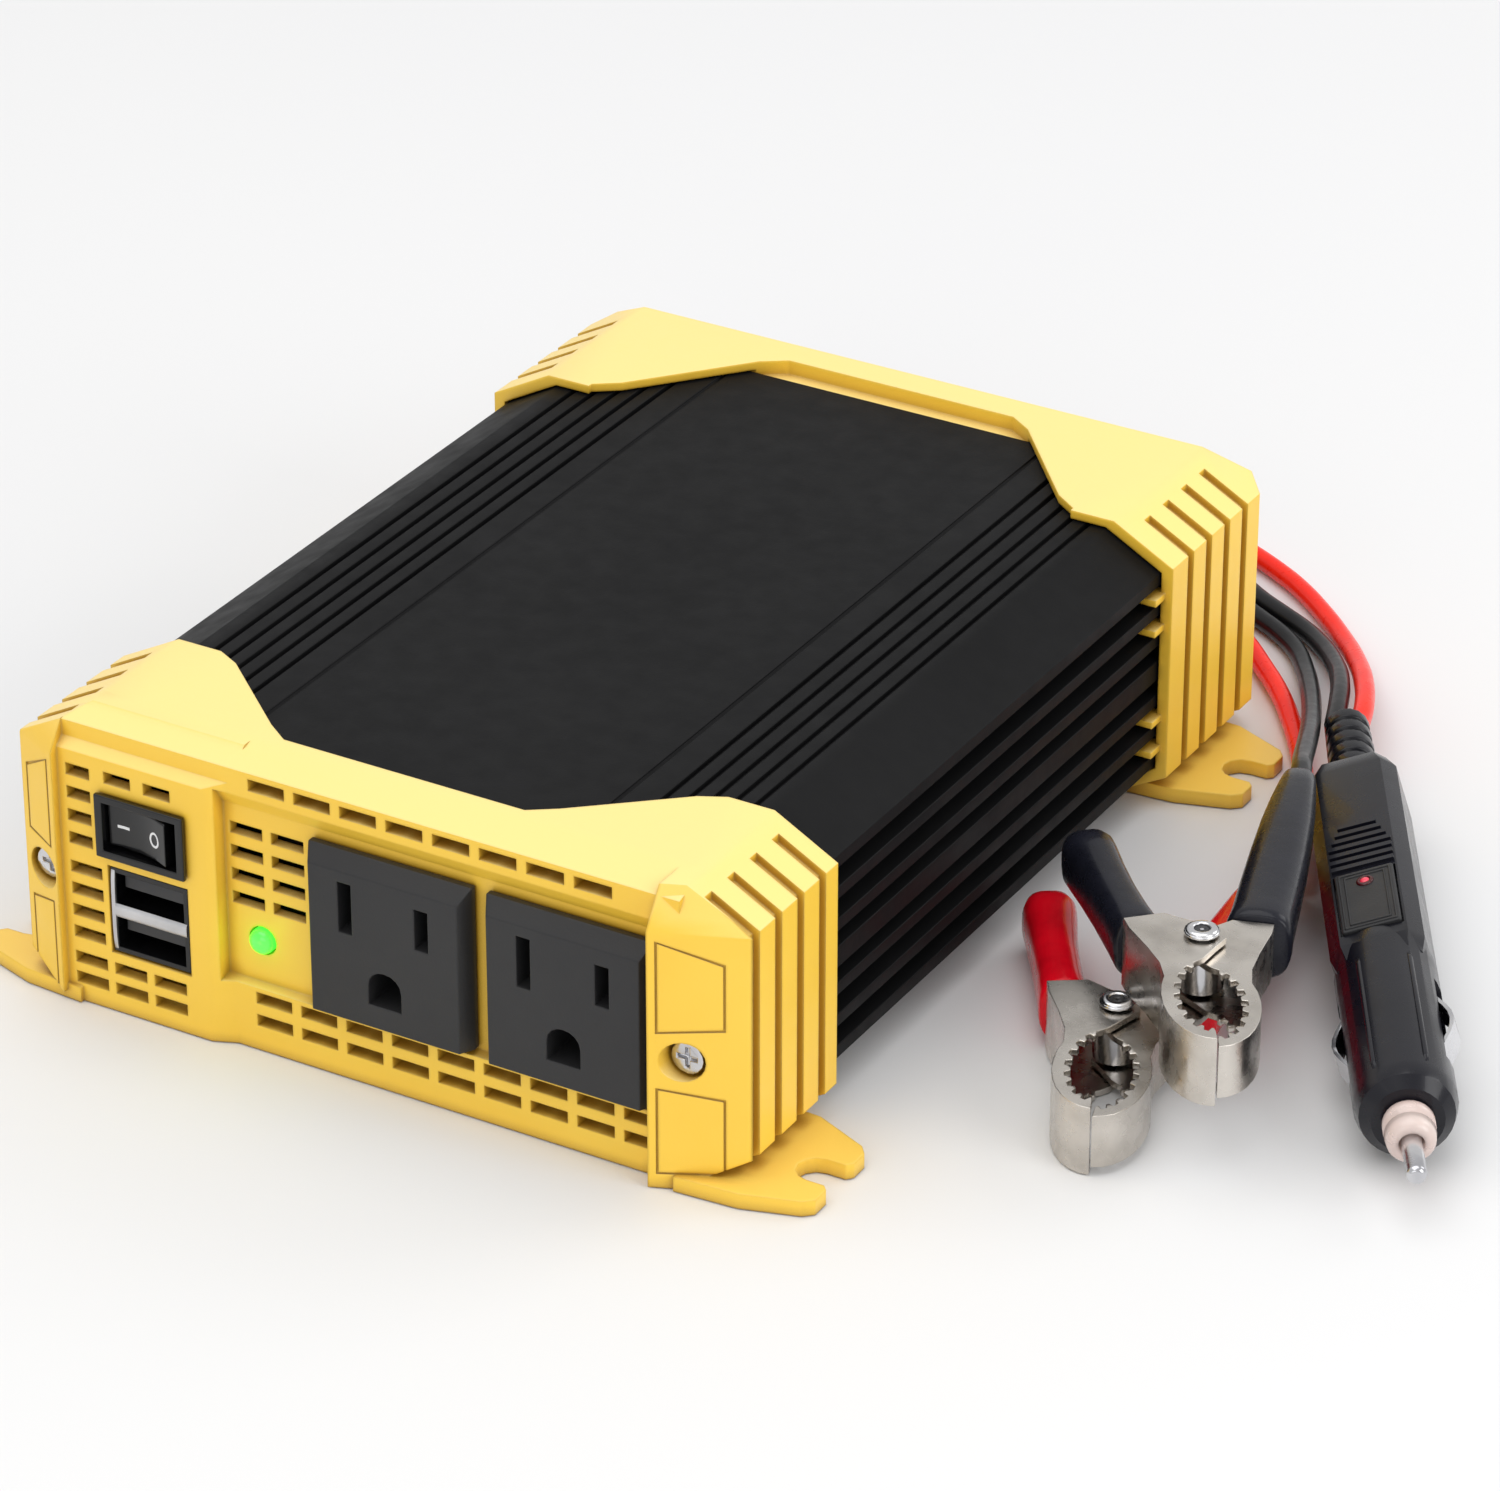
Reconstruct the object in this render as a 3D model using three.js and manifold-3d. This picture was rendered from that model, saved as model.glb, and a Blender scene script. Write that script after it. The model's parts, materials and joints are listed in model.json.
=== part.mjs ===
// A 12 V power inverter with two outlets, two USB ports, a rocker switch and its input leads:
// a 12 V socket plug and a pair of battery clamps, lying beside it on the surface it stands on.
// Millimetres. +X is to the right seen from the front, +Y to the rear, +Z up.
// The origin is on the surface, below the middle of the inverter.
import * as THREE from 'three';
import { mergeVertices } from 'three/addons/utils/BufferGeometryUtils.js';
import Module from 'manifold-3d';

const wasm = await Module();
wasm.setup();

// ---- driving dimensions ----
const gap = 0.3;                    // kept between pieces that touch
const height = 46.8;
const halfWidth = 60;               // end caps, without their feet
const topHalf = 49.9;               // half width of the flat top
const sideTop = 41.3;               // where the upper chamfer meets the side
const frontY = -89;                 // face of the two front pillars
const frontFlangeY = -60;
const rearFlangeY = 41.6;
const rearY = 75;
const knobTipY = 89;
const footHalf = 70;
const footThick = 2.4;
const capWall = 1.9;                // end cap wall round the case
const caseFrontY = -80;
const caseRearY = 62;
const fullTurn = 2 * Math.PI;

// ---- materials ----
const finish = (color, roughness, metalness) => new THREE.MeshStandardMaterial({ color, roughness,
  metalness });
const yellowPlastic = finish(0xf2c53d, 0.42, 0);
const blackAnodised = finish(0x1b1b1d, 0.5, 0.6);
const outletPlastic = finish(0x2b2b2d, 0.5, 0);
const glossBlack = finish(0x141416, 0.25, 0);
const redPlastic = finish(0xc8202a, 0.4, 0);
const redVinyl = finish(0xd51f2c, 0.35, 0);
const blackVinyl = finish(0x202024, 0.4, 0);
const steel = finish(0xc9c8c4, 0.25, 1);
const brass = finish(0xc9a75a, 0.3, 1);
const boardGreen = finish(0x1f5a34, 0.6, 0);
const ferrite = finish(0x3a352f, 0.7, 0);
const ledGreen = finish(0x2bff4e, 0.2, 0);
const nosePlastic = finish(0xe3c3b6, 0.4, 0);
const aluminium = finish(0xa9abad, 0.4, 1);

const inverter = new THREE.Group();

// ---- solids ----
function toSolid(geometry) {
  const plain = geometry.clone();
  plain.deleteAttribute('normal');
  plain.deleteAttribute('uv');
  const merged = mergeVertices(plain, 1e-4);
  return new wasm.Manifold(new wasm.Mesh({
    numProp: 3,
    vertProperties: new Float32Array(merged.attributes.position.array),
    triVerts: new Uint32Array(merged.index.array),
  }));
}

function toGeometry(solid) {
  const mesh = solid.getMesh();
  const geometry = new THREE.BufferGeometry();
  geometry.setAttribute('position', new THREE.BufferAttribute(new Float32Array(mesh.vertProperties), 3));
  geometry.setIndex(new THREE.BufferAttribute(new Uint32Array(mesh.triVerts), 1));
  geometry.computeVertexNormals();
  return geometry;
}

function addNode(name, solid, material, parent = inverter) {
  const mesh = new THREE.Mesh(toGeometry(solid), material);
  mesh.name = name;
  parent.add(mesh);
  return mesh;
}

const joined = (...solids) => solids.reduce((whole, next) => whole.add(next));
const cut = (body, ...tools) => tools.reduce((left, tool) => left.subtract(tool), body);

function box(x0, x1, y0, y1, z0, z1) {
  const geometry = new THREE.BoxGeometry(x1 - x0, y1 - y0, z1 - z0);
  geometry.translate((x0 + x1) / 2, (y0 + y1) / 2, (z0 + z1) / 2);
  return toSolid(geometry);
}

const outlineShape = (points) => new THREE.Shape(points.map(([a, b]) => new THREE.Vector2(a, b)));

function extruded(shape, depth) {
  return new THREE.ExtrudeGeometry(shape, { depth, bevelEnabled: false, curveSegments: 6 });
}

// Outline in X and Z, run along Y.
function alongY(points, y0, y1) {
  const geometry = extruded(outlineShape(points), y1 - y0);
  geometry.rotateX(Math.PI / 2);
  geometry.translate(0, y1, 0);
  return toSolid(geometry);
}

// Outline in X and Y, run along Z.
function alongZ(points, z0, z1) {
  const geometry = extruded(outlineShape(points), z1 - z0);
  geometry.translate(0, 0, z0);
  return toSolid(geometry);
}

// Outline in Y and Z, run along X.
function alongX(points, x0, x1) {
  const geometry = extruded(outlineShape(points), x1 - x0);
  const turn = new THREE.Matrix4();
  turn.makeBasis(new THREE.Vector3(0, 1, 0), new THREE.Vector3(0, 0, 1), new THREE.Vector3(1, 0, 0));
  geometry.applyMatrix4(turn);
  geometry.translate(x0, 0, 0);
  return toSolid(geometry);
}

// A round bar along Y, centred on (x, z).
function barY(radius, x, z, y0, y1, sides = 20) {
  const geometry = new THREE.CylinderGeometry(radius, radius, y1 - y0, sides);
  geometry.translate(x, (y0 + y1) / 2, z);
  return toSolid(geometry);
}

// A round bar along Z, centred on (x, y).
function barZ(radius, x, y, z0, z1, sides = 20) {
  const geometry = new THREE.CylinderGeometry(radius, radius, z1 - z0, sides);
  geometry.rotateX(Math.PI / 2);
  geometry.translate(x, y, (z0 + z1) / 2);
  return toSolid(geometry);
}

// A body turned about the X axis: profile points are [x, radius].
function turnedX(profile, sides = 24) {
  const points = profile.map(([x, radius]) => new THREE.Vector2(radius, x));
  const geometry = new THREE.LatheGeometry(points, sides);
  geometry.rotateZ(-Math.PI / 2);
  return toSolid(geometry);
}

// A rectangle with its corners rounded, as outline points.
function roundedRect(a0, a1, b0, b1, radius, steps = 3) {
  const corners = [[a1 - radius, b1 - radius, 0], [a0 + radius, b1 - radius, 1],
    [a0 + radius, b0 + radius, 2], [a1 - radius, b0 + radius, 3]];
  const points = [];
  for (const [a, b, quarter] of corners) {
    for (let k = 0; k <= steps; k++) {
      const angle = (quarter + k / steps) * Math.PI / 2;
      points.push([a + radius * Math.cos(angle), b + radius * Math.sin(angle)]);
    }
  }
  return points;
}

const mirrored = (points) => points.map(([a, b]) => [-a, b]).reverse();
const bothSides = (points) => [...points, ...mirrored(points)];

// The eight-sided section shared by the end caps and the case, moved inwards by inset.
function octagon(inset, topInset = inset) {
  const chamferRun = halfWidth - topHalf;
  const chamferRise = height - sideTop;
  const slope = chamferRise / chamferRun;
  const shift = inset * Math.hypot(1, slope);
  const x = halfWidth - inset;
  const top = height - topInset;
  const chamferZ = (px) => height + (topHalf - px) * slope - shift;
  const topX = topHalf + (height - shift - top) / slope;
  const sideZ = chamferZ(x);
  return [[topX, top], [-topX, top], [-x, sideZ], [-x, height - sideZ],
    [-topX, height - top], [topX, height - top], [x, height - sideZ], [x, sideZ]];
}

// ---- case: one aluminium extrusion, grooved on top and finned at the sides ----
const caseInset = capWall + gap;
const caseTopInset = 1.7;
const finDepth = 4;
const finPitch = 5.2;
const finThick = 2;
const middleFinThick = 3.4;
const finCentre = height / 2;
const lipEdge = 14.5;               // from the middle fin to the edge of the corner lips
const screwX = 52.6;
const screwZ = height / 2;
const screwHole = 1.7;

function caseSection() {
  const [[topX, top], , , , , , , [x, sideZ]] = octagon(caseInset, caseTopInset);
  const grooveDepth = 0.9;
  const grooveHalf = 0.45;
  const right = [];
  for (const edge of [27.6, 28.4]) {
    right.push([edge, edge < 28 ? top : top - 0.35]);
    right.push([edge, edge < 28 ? top - 0.35 : top]);
  }
  for (let k = 0; k < 5; k++) {
    const centre = 33.4 + 3 * k;
    right.push([centre - grooveHalf, top], [centre - grooveHalf, top - grooveDepth]);
    right.push([centre + grooveHalf, top - grooveDepth], [centre + grooveHalf, top]);
  }
  right.push([topX, top], [x, sideZ], [x, finCentre + lipEdge], [x - finDepth, finCentre + lipEdge]);
  for (let k = -2; k <= 2; k++) {
    const z = finCentre - k * finPitch;
    const half = (k === 0 ? middleFinThick : finThick) / 2;
    right.push([x - finDepth, z + half], [x, z + half], [x, z - half], [x - finDepth, z - half]);
  }
  right.push([x - finDepth, finCentre - lipEdge], [x, finCentre - lipEdge]);
  right.push([x, height - sideZ], [topX, height - top]);
  return [...right, ...mirrored(right)];
}

function caseExtrusion() {
  const innerHalf = 52;
  const bossHalf = 49.4;
  const bossReach = 3.8;
  const right = [[46, 43.2], [innerHalf, 39.4], [innerHalf, screwZ + bossReach],
    [bossHalf, screwZ + bossReach],
    [bossHalf, screwZ - bossReach], [innerHalf, screwZ - bossReach], [innerHalf, 7.4], [46, 3.6]];
  let body = alongY(caseSection(), caseFrontY, caseRearY);
  body = cut(body, alongY([...right, ...mirrored(right)], caseFrontY - 1, caseRearY + 1));
  for (const x of [-screwX, screwX]) {
    body = cut(body, barY(screwHole, x, screwZ, caseRearY - 16, caseRearY + 1, 12));
  }
  return body;
}

// ---- end caps ----
const ribPitch = 6.05;
const grooveWidth = 1.9;
const grooveDeep = 1.2;

// Grooves that run down the chamfers and both sides from near the top, leaving ribs between them.
function ribGrooves(centres) {
  const start = 52.4;
  let tool = null;
  for (const y of centres) {
    const slab = alongY(octagon(-1), y - grooveWidth / 2, y + grooveWidth / 2);
    const core = alongY(octagon(grooveDeep, -2), y - grooveWidth, y + grooveWidth);
    const ring = slab.subtract(core);
    tool = tool ? tool.add(ring) : ring;
  }
  return tool.subtract(box(-start, start, -100, 100, height / 2, height + 2));
}

// One slotted foot on the right, in outline; side -1 gives the left one.
function foot(side, slotY) {
  const slotHalf = 3;
  const slotX = 66.3;
  const points = [[50, -11.6], [60, -10.9], [68.6, -8.2], [footHalf, -6.9], [footHalf, -3.9],
    [69.2, -slotHalf]];
  for (let k = 0; k <= 6; k++) {
    const angle = -Math.PI / 2 - k * Math.PI / 6;
    points.push([slotX + slotHalf * Math.cos(angle), slotHalf * Math.sin(angle)]);
  }
  points.push([69.2, slotHalf], [footHalf, 3.9], [footHalf, 6.9], [68.8, 8.4], [60, 12.2], [50, 12.8]);
  return alongZ(points.map(([x, y]) => [side * x, slotY + y]), 0, footThick);
}

const frontSlotY = -76.6;
const rearSlotY = 55;

const frontScrewY = -83.5;           // floors of the screw recesses
const rearScrewY = rearY - 1.2;
const frontScrewZ = 20.6;
const frontScrewXs = [-55.8, 50.9];

const pillarTurn = 22.5;            // degrees the pillars' faces are turned towards the sides
const pillarInner = 46.4;
const pillarLeft = -52.4;
const bayLeft = -53;
const bayRight = -27.5;
const recessY = -84.4;
const panelY = -86;
const bayY = -87.5;
const wallInnerY = -82.6;

// Turns a piece modelled on the plane y = 0, inner edge at x = 0, onto a pillar's face.
function onPillar(solid, side, inner) {
  const faced = solid.rotate([0, 0, pillarTurn]);
  return (side < 0 ? faced.mirror([1, 0, 0]) : faced).translate([inner, frontY, 0]);
}

// A corner pillar of the front: a turned face with a sloped top.
function pillar(side, inner, rear) {
  const profile = [[0, 0], [0, 41], [3.4, height], [20, height], [20, 0]];
  const [x0, x1] = [inner, side * halfWidth].sort((a, b) => a - b);
  const limits = box(x0, x1, frontY - 1, rear, 0, height);
  return onPillar(alongX(profile, -20, 20), side, inner).intersect(limits);
}

// Outline grooves of the two pads on a pillar's face, above and below its screw.
function padOutlines(side, inner, wide) {
  const line = 0.35;
  const frame = (inset, z0, z1, drop) => [[1.2 + inset, z0 + inset], [wide - inset, z0 + inset + drop / 3],
    [wide - inset, z1 - inset - drop], [1.2 + inset, z1 - inset]];
  let outlines = null;
  for (const [z0, z1, drop] of [[24.9, 39.6, 3], [2.2, 16.2, 1.2]]) {
    const outer = alongY(frame(0, z0, z1, drop), -1, 0.3);
    const ring = outer.subtract(alongY(frame(line, z0, z1, drop), -2, 1));
    outlines = outlines ? outlines.add(ring) : ring;
  }
  return onPillar(outlines, side, inner);
}

function frontShell() {
  const rearOfFront = -78;
  const profile = (faceY, faceTop, slopeY) =>
    [[faceY, 0], [faceY, faceTop], [slopeY, height], [rearOfFront, height], [rearOfFront, 0]];
  const bayPlan = [[bayLeft, bayY], [bayRight, bayY], [-23.9, panelY], [-23.9, rearOfFront],
    [bayLeft, rearOfFront]];
  const panel = alongX(profile(panelY, 45.3, -80), -52.4, 50);
  const bay = alongX(profile(bayY, 41.5, -81.5), -56, -20).intersect(alongZ(bayPlan, 0, height));
  const face = joined(panel, bay, pillar(1, pillarInner, rearOfFront), pillar(-1, pillarLeft, rearOfFront))
    .intersect(alongY(octagon(0), frontY - 1, rearOfFront));
  return face.add(alongY(octagon(0), rearOfFront - 0.5, frontFlangeY));
}

// Wings and band of a cap's top: what is cut away so that the case shows.
function topWindow(yWing, yBend, yDiagonal, yBand, yOut) {
  const right = [[20, yBand], [24, yDiagonal], [38.6, yBend], [42.5, yWing], [42.5, yOut]];
  return alongZ([...right, ...mirrored(right)], height - 3.5, height + 1);
}

const ventWidth = 6.1;
const ventHigh = 1.9;
const ventPitch = 7.67;

// Vents through the front wall, as [x0, x1, z0] rows worked out from their pitch.
function frontVents() {
  const vents = [];
  const firstX = -20.5;
  for (let k = 0; k < 8; k++) vents.push([firstX + k * ventPitch, ventWidth, 42.5]);
  for (let k = 0; k < 9; k++) {
    const width = k === 8 ? 4.6 : ventWidth;
    for (const z of [7.7, 4.0]) vents.push([firstX + k * ventPitch, width, z]);
  }
  for (let row = 0; row < 4; row++) {
    vents.push([-25, 5.5, 33.8 - row * 3.8]);
    vents.push([-18, 5.5, 33.8 - row * 3.8]);
  }
  for (let row = 0; row < 4; row++) vents.push([-51, 4.1, 37.4 - row * 3.75]);
  for (let row = 0; row < 4; row++) vents.push([-51, 5.5, 21.4 - row * 3.6]);
  for (let row = 0; row < 2; row++) {
    for (let k = 0; k < 3; k++) vents.push([-51 + k * 6.9, 5.6, 6.3 - row * 3.4]);
  }
  vents.push([-44.4, 4.6, 37.7], [-37.6, 4.6, 37.7]);
  return vents;
}

const outletCentres = [2.85, 32.3];
const outletHalfX = 13.5;
const outletZ0 = 11.2;
const outletZ1 = 37.4;
const outletCoreX = 11.6;
const outletCoreZ = 10.6;
const outletMidZ = (outletZ0 + outletZ1) / 2;
const bezelX0 = -45.6;
const bezelX1 = -30.4;
const bezelZ0 = 26;
const bezelZ1 = 36.2;
const usbX0 = -44.2;
const usbX1 = -30.9;
const usbZ0 = 10.1;
const usbZ1 = 24;
const ledX = -20.1;
const ledZ = 17.4;
const ledRadius = 2;

// A round recess from the outside to the screw's head, and a hole of the given depth beyond it.
function screwRecess(x, z, outY, headY, depth) {
  const deep = headY + Math.sign(headY - outY) * depth;
  const recess = barY(3.1, x, z, Math.min(outY, headY), Math.max(outY, headY), 20);
  return recess.add(barY(screwHole, x, z, Math.min(headY, deep), Math.max(headY, deep), 12));
}

function frontCap() {
  let cap = frontShell();
  cap = cut(cap, alongY(octagon(capWall, 1.4), caseFrontY - gap, frontFlangeY + 1));
  cap = cut(cap, box(-51.5, 51.5, wallInnerY, caseFrontY, 3.4, 43.4));
  cap = cut(cap, box(-52.2, -28.6, -85.3, wallInnerY + 0.2, 3.4, 40.2));
  const recess = [[panelY - 3, 41.2 + 1.6], [panelY, 41.2], [recessY, 38.7], [recessY, 10.6],
    [panelY, 10.3], [panelY - 3, 10]];
  cap = cut(cap, alongX(recess, -26, pillarInner));
  cap = cut(cap, topWindow(frontFlangeY, -62, -74.6, -77.4, frontFlangeY + 2));
  cap = cut(cap, ribGrooves([0, 1, 2, 3].map((k) => -82.4 + k * ribPitch)));
  for (const [x, width, z] of frontVents()) {
    cap = cut(cap, box(x, x + width, frontY - 1, caseFrontY - 0.2, z, z + ventHigh));
  }
  for (const x of outletCentres) {
    const hx = outletCoreX + gap;
    const hz = outletCoreZ + gap;
    cap = cut(cap, box(x - hx, x + hx, frontY, caseFrontY - 0.2, outletMidZ - hz, outletMidZ + hz));
  }
  cap = cut(cap, box(bezelX0 + 0.4, bezelX1 - 0.4, frontY, caseFrontY, bezelZ0 + 0.3, bezelZ1 - 0.3));
  cap = cut(cap, box(usbX0 - gap, usbX1 + gap, frontY, caseFrontY, usbZ0 - gap, usbZ1 + gap));
  cap = cut(cap, barY(ledRadius + gap, ledX, ledZ, frontY, caseFrontY, 16));
  for (const x of frontScrewXs) cap = cut(cap, screwRecess(x, frontScrewZ, frontY - 1, frontScrewY, 3.4));
  for (const side of [-1, 1]) cap = cap.add(foot(side, frontSlotY));
  return cut(cap, padOutlines(1, pillarInner, 11), padOutlines(-1, pillarLeft, 7));
}

const fanX = -22;
const fanZ = height / 2;
const fanOpening = 18;
const studXs = { red: 37, black: 15 };
const studZ = 30;
const studRadius = 2.4;

function fanGrille() {
  let open = null;
  for (const [inner, outer] of [[5, 8.6], [10.2, 13.2], [14.8, fanOpening]]) {
    const ring = barY(outer, fanX, fanZ, rearY - 4, rearY + 1, 32)
      .subtract(barY(inner, fanX, fanZ, rearY - 5, rearY + 2, 32));
    open = open ? open.add(ring) : ring;
  }
  for (const turn of [0, 1]) {
    const spoke = turn ? box(fanX - 20, fanX + 20, rearY - 5, rearY + 2, fanZ - 1, fanZ + 1)
      : box(fanX - 1, fanX + 1, rearY - 5, rearY + 2, fanZ - 20, fanZ + 20);
    open = open.subtract(spoke);
  }
  return open;
}

function rearCap() {
  const bevelY = 70.8;
  const plan = bothSides([[halfWidth, 41], [halfWidth, bevelY], [56, rearY]]);
  const profile = [[rearFlangeY, 0], [rearFlangeY, height], [bevelY, height], [rearY, 41.8], [rearY, 0]];
  let cap = alongX(profile, -61, 61).intersect(alongZ(plan, -1, height + 1));
  cap = cap.intersect(alongY(octagon(0), rearFlangeY, rearY + 1));
  cap = cut(cap, alongY(octagon(capWall, 1.4), rearFlangeY - 1, caseRearY + gap));
  cap = cut(cap, box(-51.5, 51.5, caseRearY, rearY - 2.4, 3.4, height - 3.4));
  const ledge = box(-30, 30, caseRearY + gap, rearY, 0, height - 2.4);
  cap = cut(cap, topWindow(42.4, 45.2, 62.6, 65.3, rearFlangeY - 2).subtract(ledge));
  cap = cut(cap, ribGrooves([0, 1, 2, 3].map((k) => 47.6 + k * ribPitch)));
  cap = cut(cap, fanGrille());
  for (let row = 0; row < 4; row++) {
    for (let k = 0; k < 5; k++) {
      const x = 5.6 + k * ventPitch;
      cap = cut(cap, box(x, x + ventWidth, rearY - 4, rearY + 1, 5 + row * 3.7, 5 + row * 3.7 + ventHigh));
    }
  }
  for (const x of Object.values(studXs)) {
    cap = cap.add(barY(8, x, studZ, rearY - 3, rearY + 1, 24));
    cap = cut(cap, barY(studRadius + gap, x, studZ, rearY - 4, rearY + 2, 16));
  }
  for (const x of [-screwX, screwX]) cap = cut(cap, screwRecess(x, screwZ, rearY + 1, rearScrewY, 8));
  for (const x of [-screwX, screwX]) cap = cut(cap, barY(screwHole, x, screwZ, caseRearY - 1, rearY, 12));
  for (const side of [-1, 1]) {
    cap = cap.add(foot(side, rearSlotY));
    for (const offset of [-2.5, -1.5, 1.5, 2.5]) {
      const z = finCentre + offset * finPitch;
      const inner = side * (halfWidth - 5.4);
      const outer = side * (halfWidth - 1.2);
      cap = cap.add(box(Math.min(inner, outer), Math.max(inner, outer), 38.6, 43, z - 0.55, z + 0.55));
    }
  }
  return cap;
}

// Pan-head screw with a cross recess; direction is the way its head faces along Y.
function capScrew(x, z, headY, direction, length) {
  const outer = headY + direction * 1.9;
  const tip = headY - direction * length;
  const head = barY(2.6, x, z, Math.min(headY, outer), Math.max(headY, outer), 16);
  const shank = barY(1.35, x, z, Math.min(headY, tip), Math.max(headY, tip), 10);
  let screw = head.add(shank);
  const slotY = outer - direction * 0.9;
  for (const [a, b] of [[1.6, 0.35], [0.35, 1.6]]) {
    const y0 = Math.min(slotY, outer + direction);
    const y1 = Math.max(slotY, outer + direction);
    screw = cut(screw, box(x - a, x + a, y0, y1, z - b, z + b));
  }
  return screw;
}

// ---- front fittings ----
function outlet(x) {
  const faceY = -88;
  const bevel = 2.2;
  const backY = recessY - gap;
  const side = alongZ([[x - outletHalfX, backY], [x - outletHalfX, faceY + bevel],
    [x - outletHalfX + 1.2, faceY],
    [x + outletHalfX - 1.2, faceY], [x + outletHalfX, faceY + bevel], [x + outletHalfX, backY]],
    outletZ0, outletZ1);
  const top = alongX([[backY, outletZ0], [faceY, outletZ0], [faceY, outletZ1 - bevel],
    [faceY + bevel, outletZ1],
    [backY, outletZ1]], x - 20, x + 20);
  const core = box(x - outletCoreX, x + outletCoreX, backY - 1, -70,
    outletMidZ - outletCoreZ, outletMidZ + outletCoreZ);
  let body = side.intersect(top).add(core);
  const bladeZ = 29.4;
  const groundZ = 17.5;
  const deepY = faceY + 13;
  body = cut(body, box(x - 7.45, x - 5.25, faceY - 1, deepY, bladeZ - 4, bladeZ + 4));
  body = cut(body, box(x + 5.25, x + 7.45, faceY - 1, deepY, bladeZ - 3.2, bladeZ + 3.2));
  const arch = [[x - 2.7, groundZ - 2.6], [x + 2.7, groundZ - 2.6]];
  for (let k = 0; k <= 8; k++) {
    const angle = k * Math.PI / 8;
    arch.push([x + 2.7 * Math.cos(angle), groundZ + 0.6 + 2.4 * Math.sin(angle)]);
  }
  return cut(body, alongY(arch, faceY - 1, deepY));
}

function switchBezel() {
  const flange = box(bezelX0, bezelX1, bayY - 1.1, bayY - gap, bezelZ0, bezelZ1);
  const sleeve = box(bezelX0 + 0.7, bezelX1 - 0.7, bayY - 0.5, -74, bezelZ0 + 0.6, bezelZ1 - 0.6);
  return cut(flange.add(sleeve), box(bezelX0 + 1.3, bezelX1 - 1.3, bayY - 2, -76, bezelZ0 + 1.2,
    bezelZ1 - 1.2));
}

const rockerX = (bezelX0 + bezelX1) / 2;
const rockerY = -83.2;
const rockerRest = -8;              // degrees: the left end is pressed in

function switchRocker() {
  const half = 5.4;
  const plan = [[-half, -4.9], [-3, -4.35], [0, -4.1], [3, -4.35], [half, -4.9], [half, -2.6], [3, 2.2],
    [-3, 2.2],
    [-half, -2.6]];
  const geometry = extruded(outlineShape(plan), bezelZ1 - bezelZ0 - 3);
  geometry.rotateZ(THREE.MathUtils.degToRad(rockerRest));
  geometry.translate(rockerX, rockerY, bezelZ0 + 1.5);
  return toSolid(geometry);
}

function usbShell() {
  let shell = box(usbX0, usbX1, bayY + 0.3, -73, usbZ0, usbZ1);
  for (const z of [usbZ0 + 0.8, (usbZ0 + usbZ1) / 2 + 0.9]) {
    shell = cut(shell, box(usbX0 + 0.8, usbX1 - 0.8, bayY - 1, -74.5, z, z + 5.2));
  }
  return shell;
}

const usbTongue = (z) => box(usbX0 + 1.5, usbX1 - 1.5, -86, -74.8, z, z + 1.9);

function statusLed() {
  const dome = new THREE.SphereGeometry(ledRadius, 16, 8);
  dome.scale(1, 0.7, 1);
  dome.translate(ledX, recessY - 0.2, ledZ);
  return toSolid(dome).add(barY(ledRadius, ledX, ledZ, recessY - 0.2, -80.6, 16));
}

// ---- inside ----
function circuitBoard() {
  return box(-50.5, 50.5, -66, 58, 8, 9.6);
}

function transformer() {
  const core = box(-20, 14, -12, 22, 9.9, 38);
  const winding = alongY(roundedRect(-15, 9, 13, 35, 5), -19, 29);
  return core.add(winding);
}

const capacitor = (x, y) => barZ(6.4, x, y, 9.9, 35, 24).add(barZ(5.6, x, y, 34, 36, 24));

function heatSinkBar() {
  const tooth = 2.4;
  const points = [[-8, 9.9], [8, 9.9], [8, 34], [6, 34], [6, 13], [3.6, 13], [3.6, 34], [3.6 - tooth, 34],
    [3.6 - tooth, 13], [-1.2, 13], [-1.2, 34], [-3.6, 34], [-3.6, 13], [-6, 13], [-6, 34], [-8, 34]];
  return alongY(points.map(([x, z]) => [x + 38, z]), -50, 30);
}

function inputFuse() {
  const legs = box(18, 20, 50, 51, 9.9, 16).add(box(28, 30, 50, 51, 9.9, 16));
  return legs.add(box(17, 31, 48, 53, 15.5, 23));
}

const fanFrontY = 63;
const fanRearY = 71.9;

function fanFrame() {
  const half = 19.5;
  const frame = alongY(roundedRect(fanX - half, fanX + half, fanZ - half, fanZ + half, 2),
    fanFrontY, fanRearY);
  let open = cut(frame, barY(17.6, fanX, fanZ, fanFrontY - 1, fanRearY + 1, 32));
  open = open.add(barY(5.6, fanX, fanZ, fanFrontY, fanFrontY + 1.6, 20));
  for (let k = 0; k < 3; k++) {
    const arm = new THREE.BoxGeometry(14, 1.6, 2);
    arm.translate(12, 0, 0);
    arm.rotateY(k * fullTurn / 3 + 0.4);
    arm.translate(fanX, fanFrontY + 0.8, fanZ);
    open = open.add(toSolid(arm));
  }
  return open;
}

function fanRotor() {
  let rotor = barY(8, 0, 0, fanFrontY + 2, fanRearY - 0.8, 24);
  const blades = 7;
  for (let k = 0; k < blades; k++) {
    const blade = new THREE.BoxGeometry(10, 1.1, 6.2);
    blade.rotateX(0.7);
    blade.translate(11.8, fanFrontY + 5, 0);
    blade.rotateY(k * fullTurn / blades);
    rotor = rotor.add(toSolid(blade));
  }
  return rotor.translate([fanX, 0, fanZ]);
}

// ---- input posts ----
function stud(x) {
  const hexHead = barY(4.6, x, studZ, rearY - 9, rearY - 4.4, 6);
  return barY(studRadius, x, studZ, rearY - 9, knobTipY - 1.2, 16).add(hexHead);
}

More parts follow.
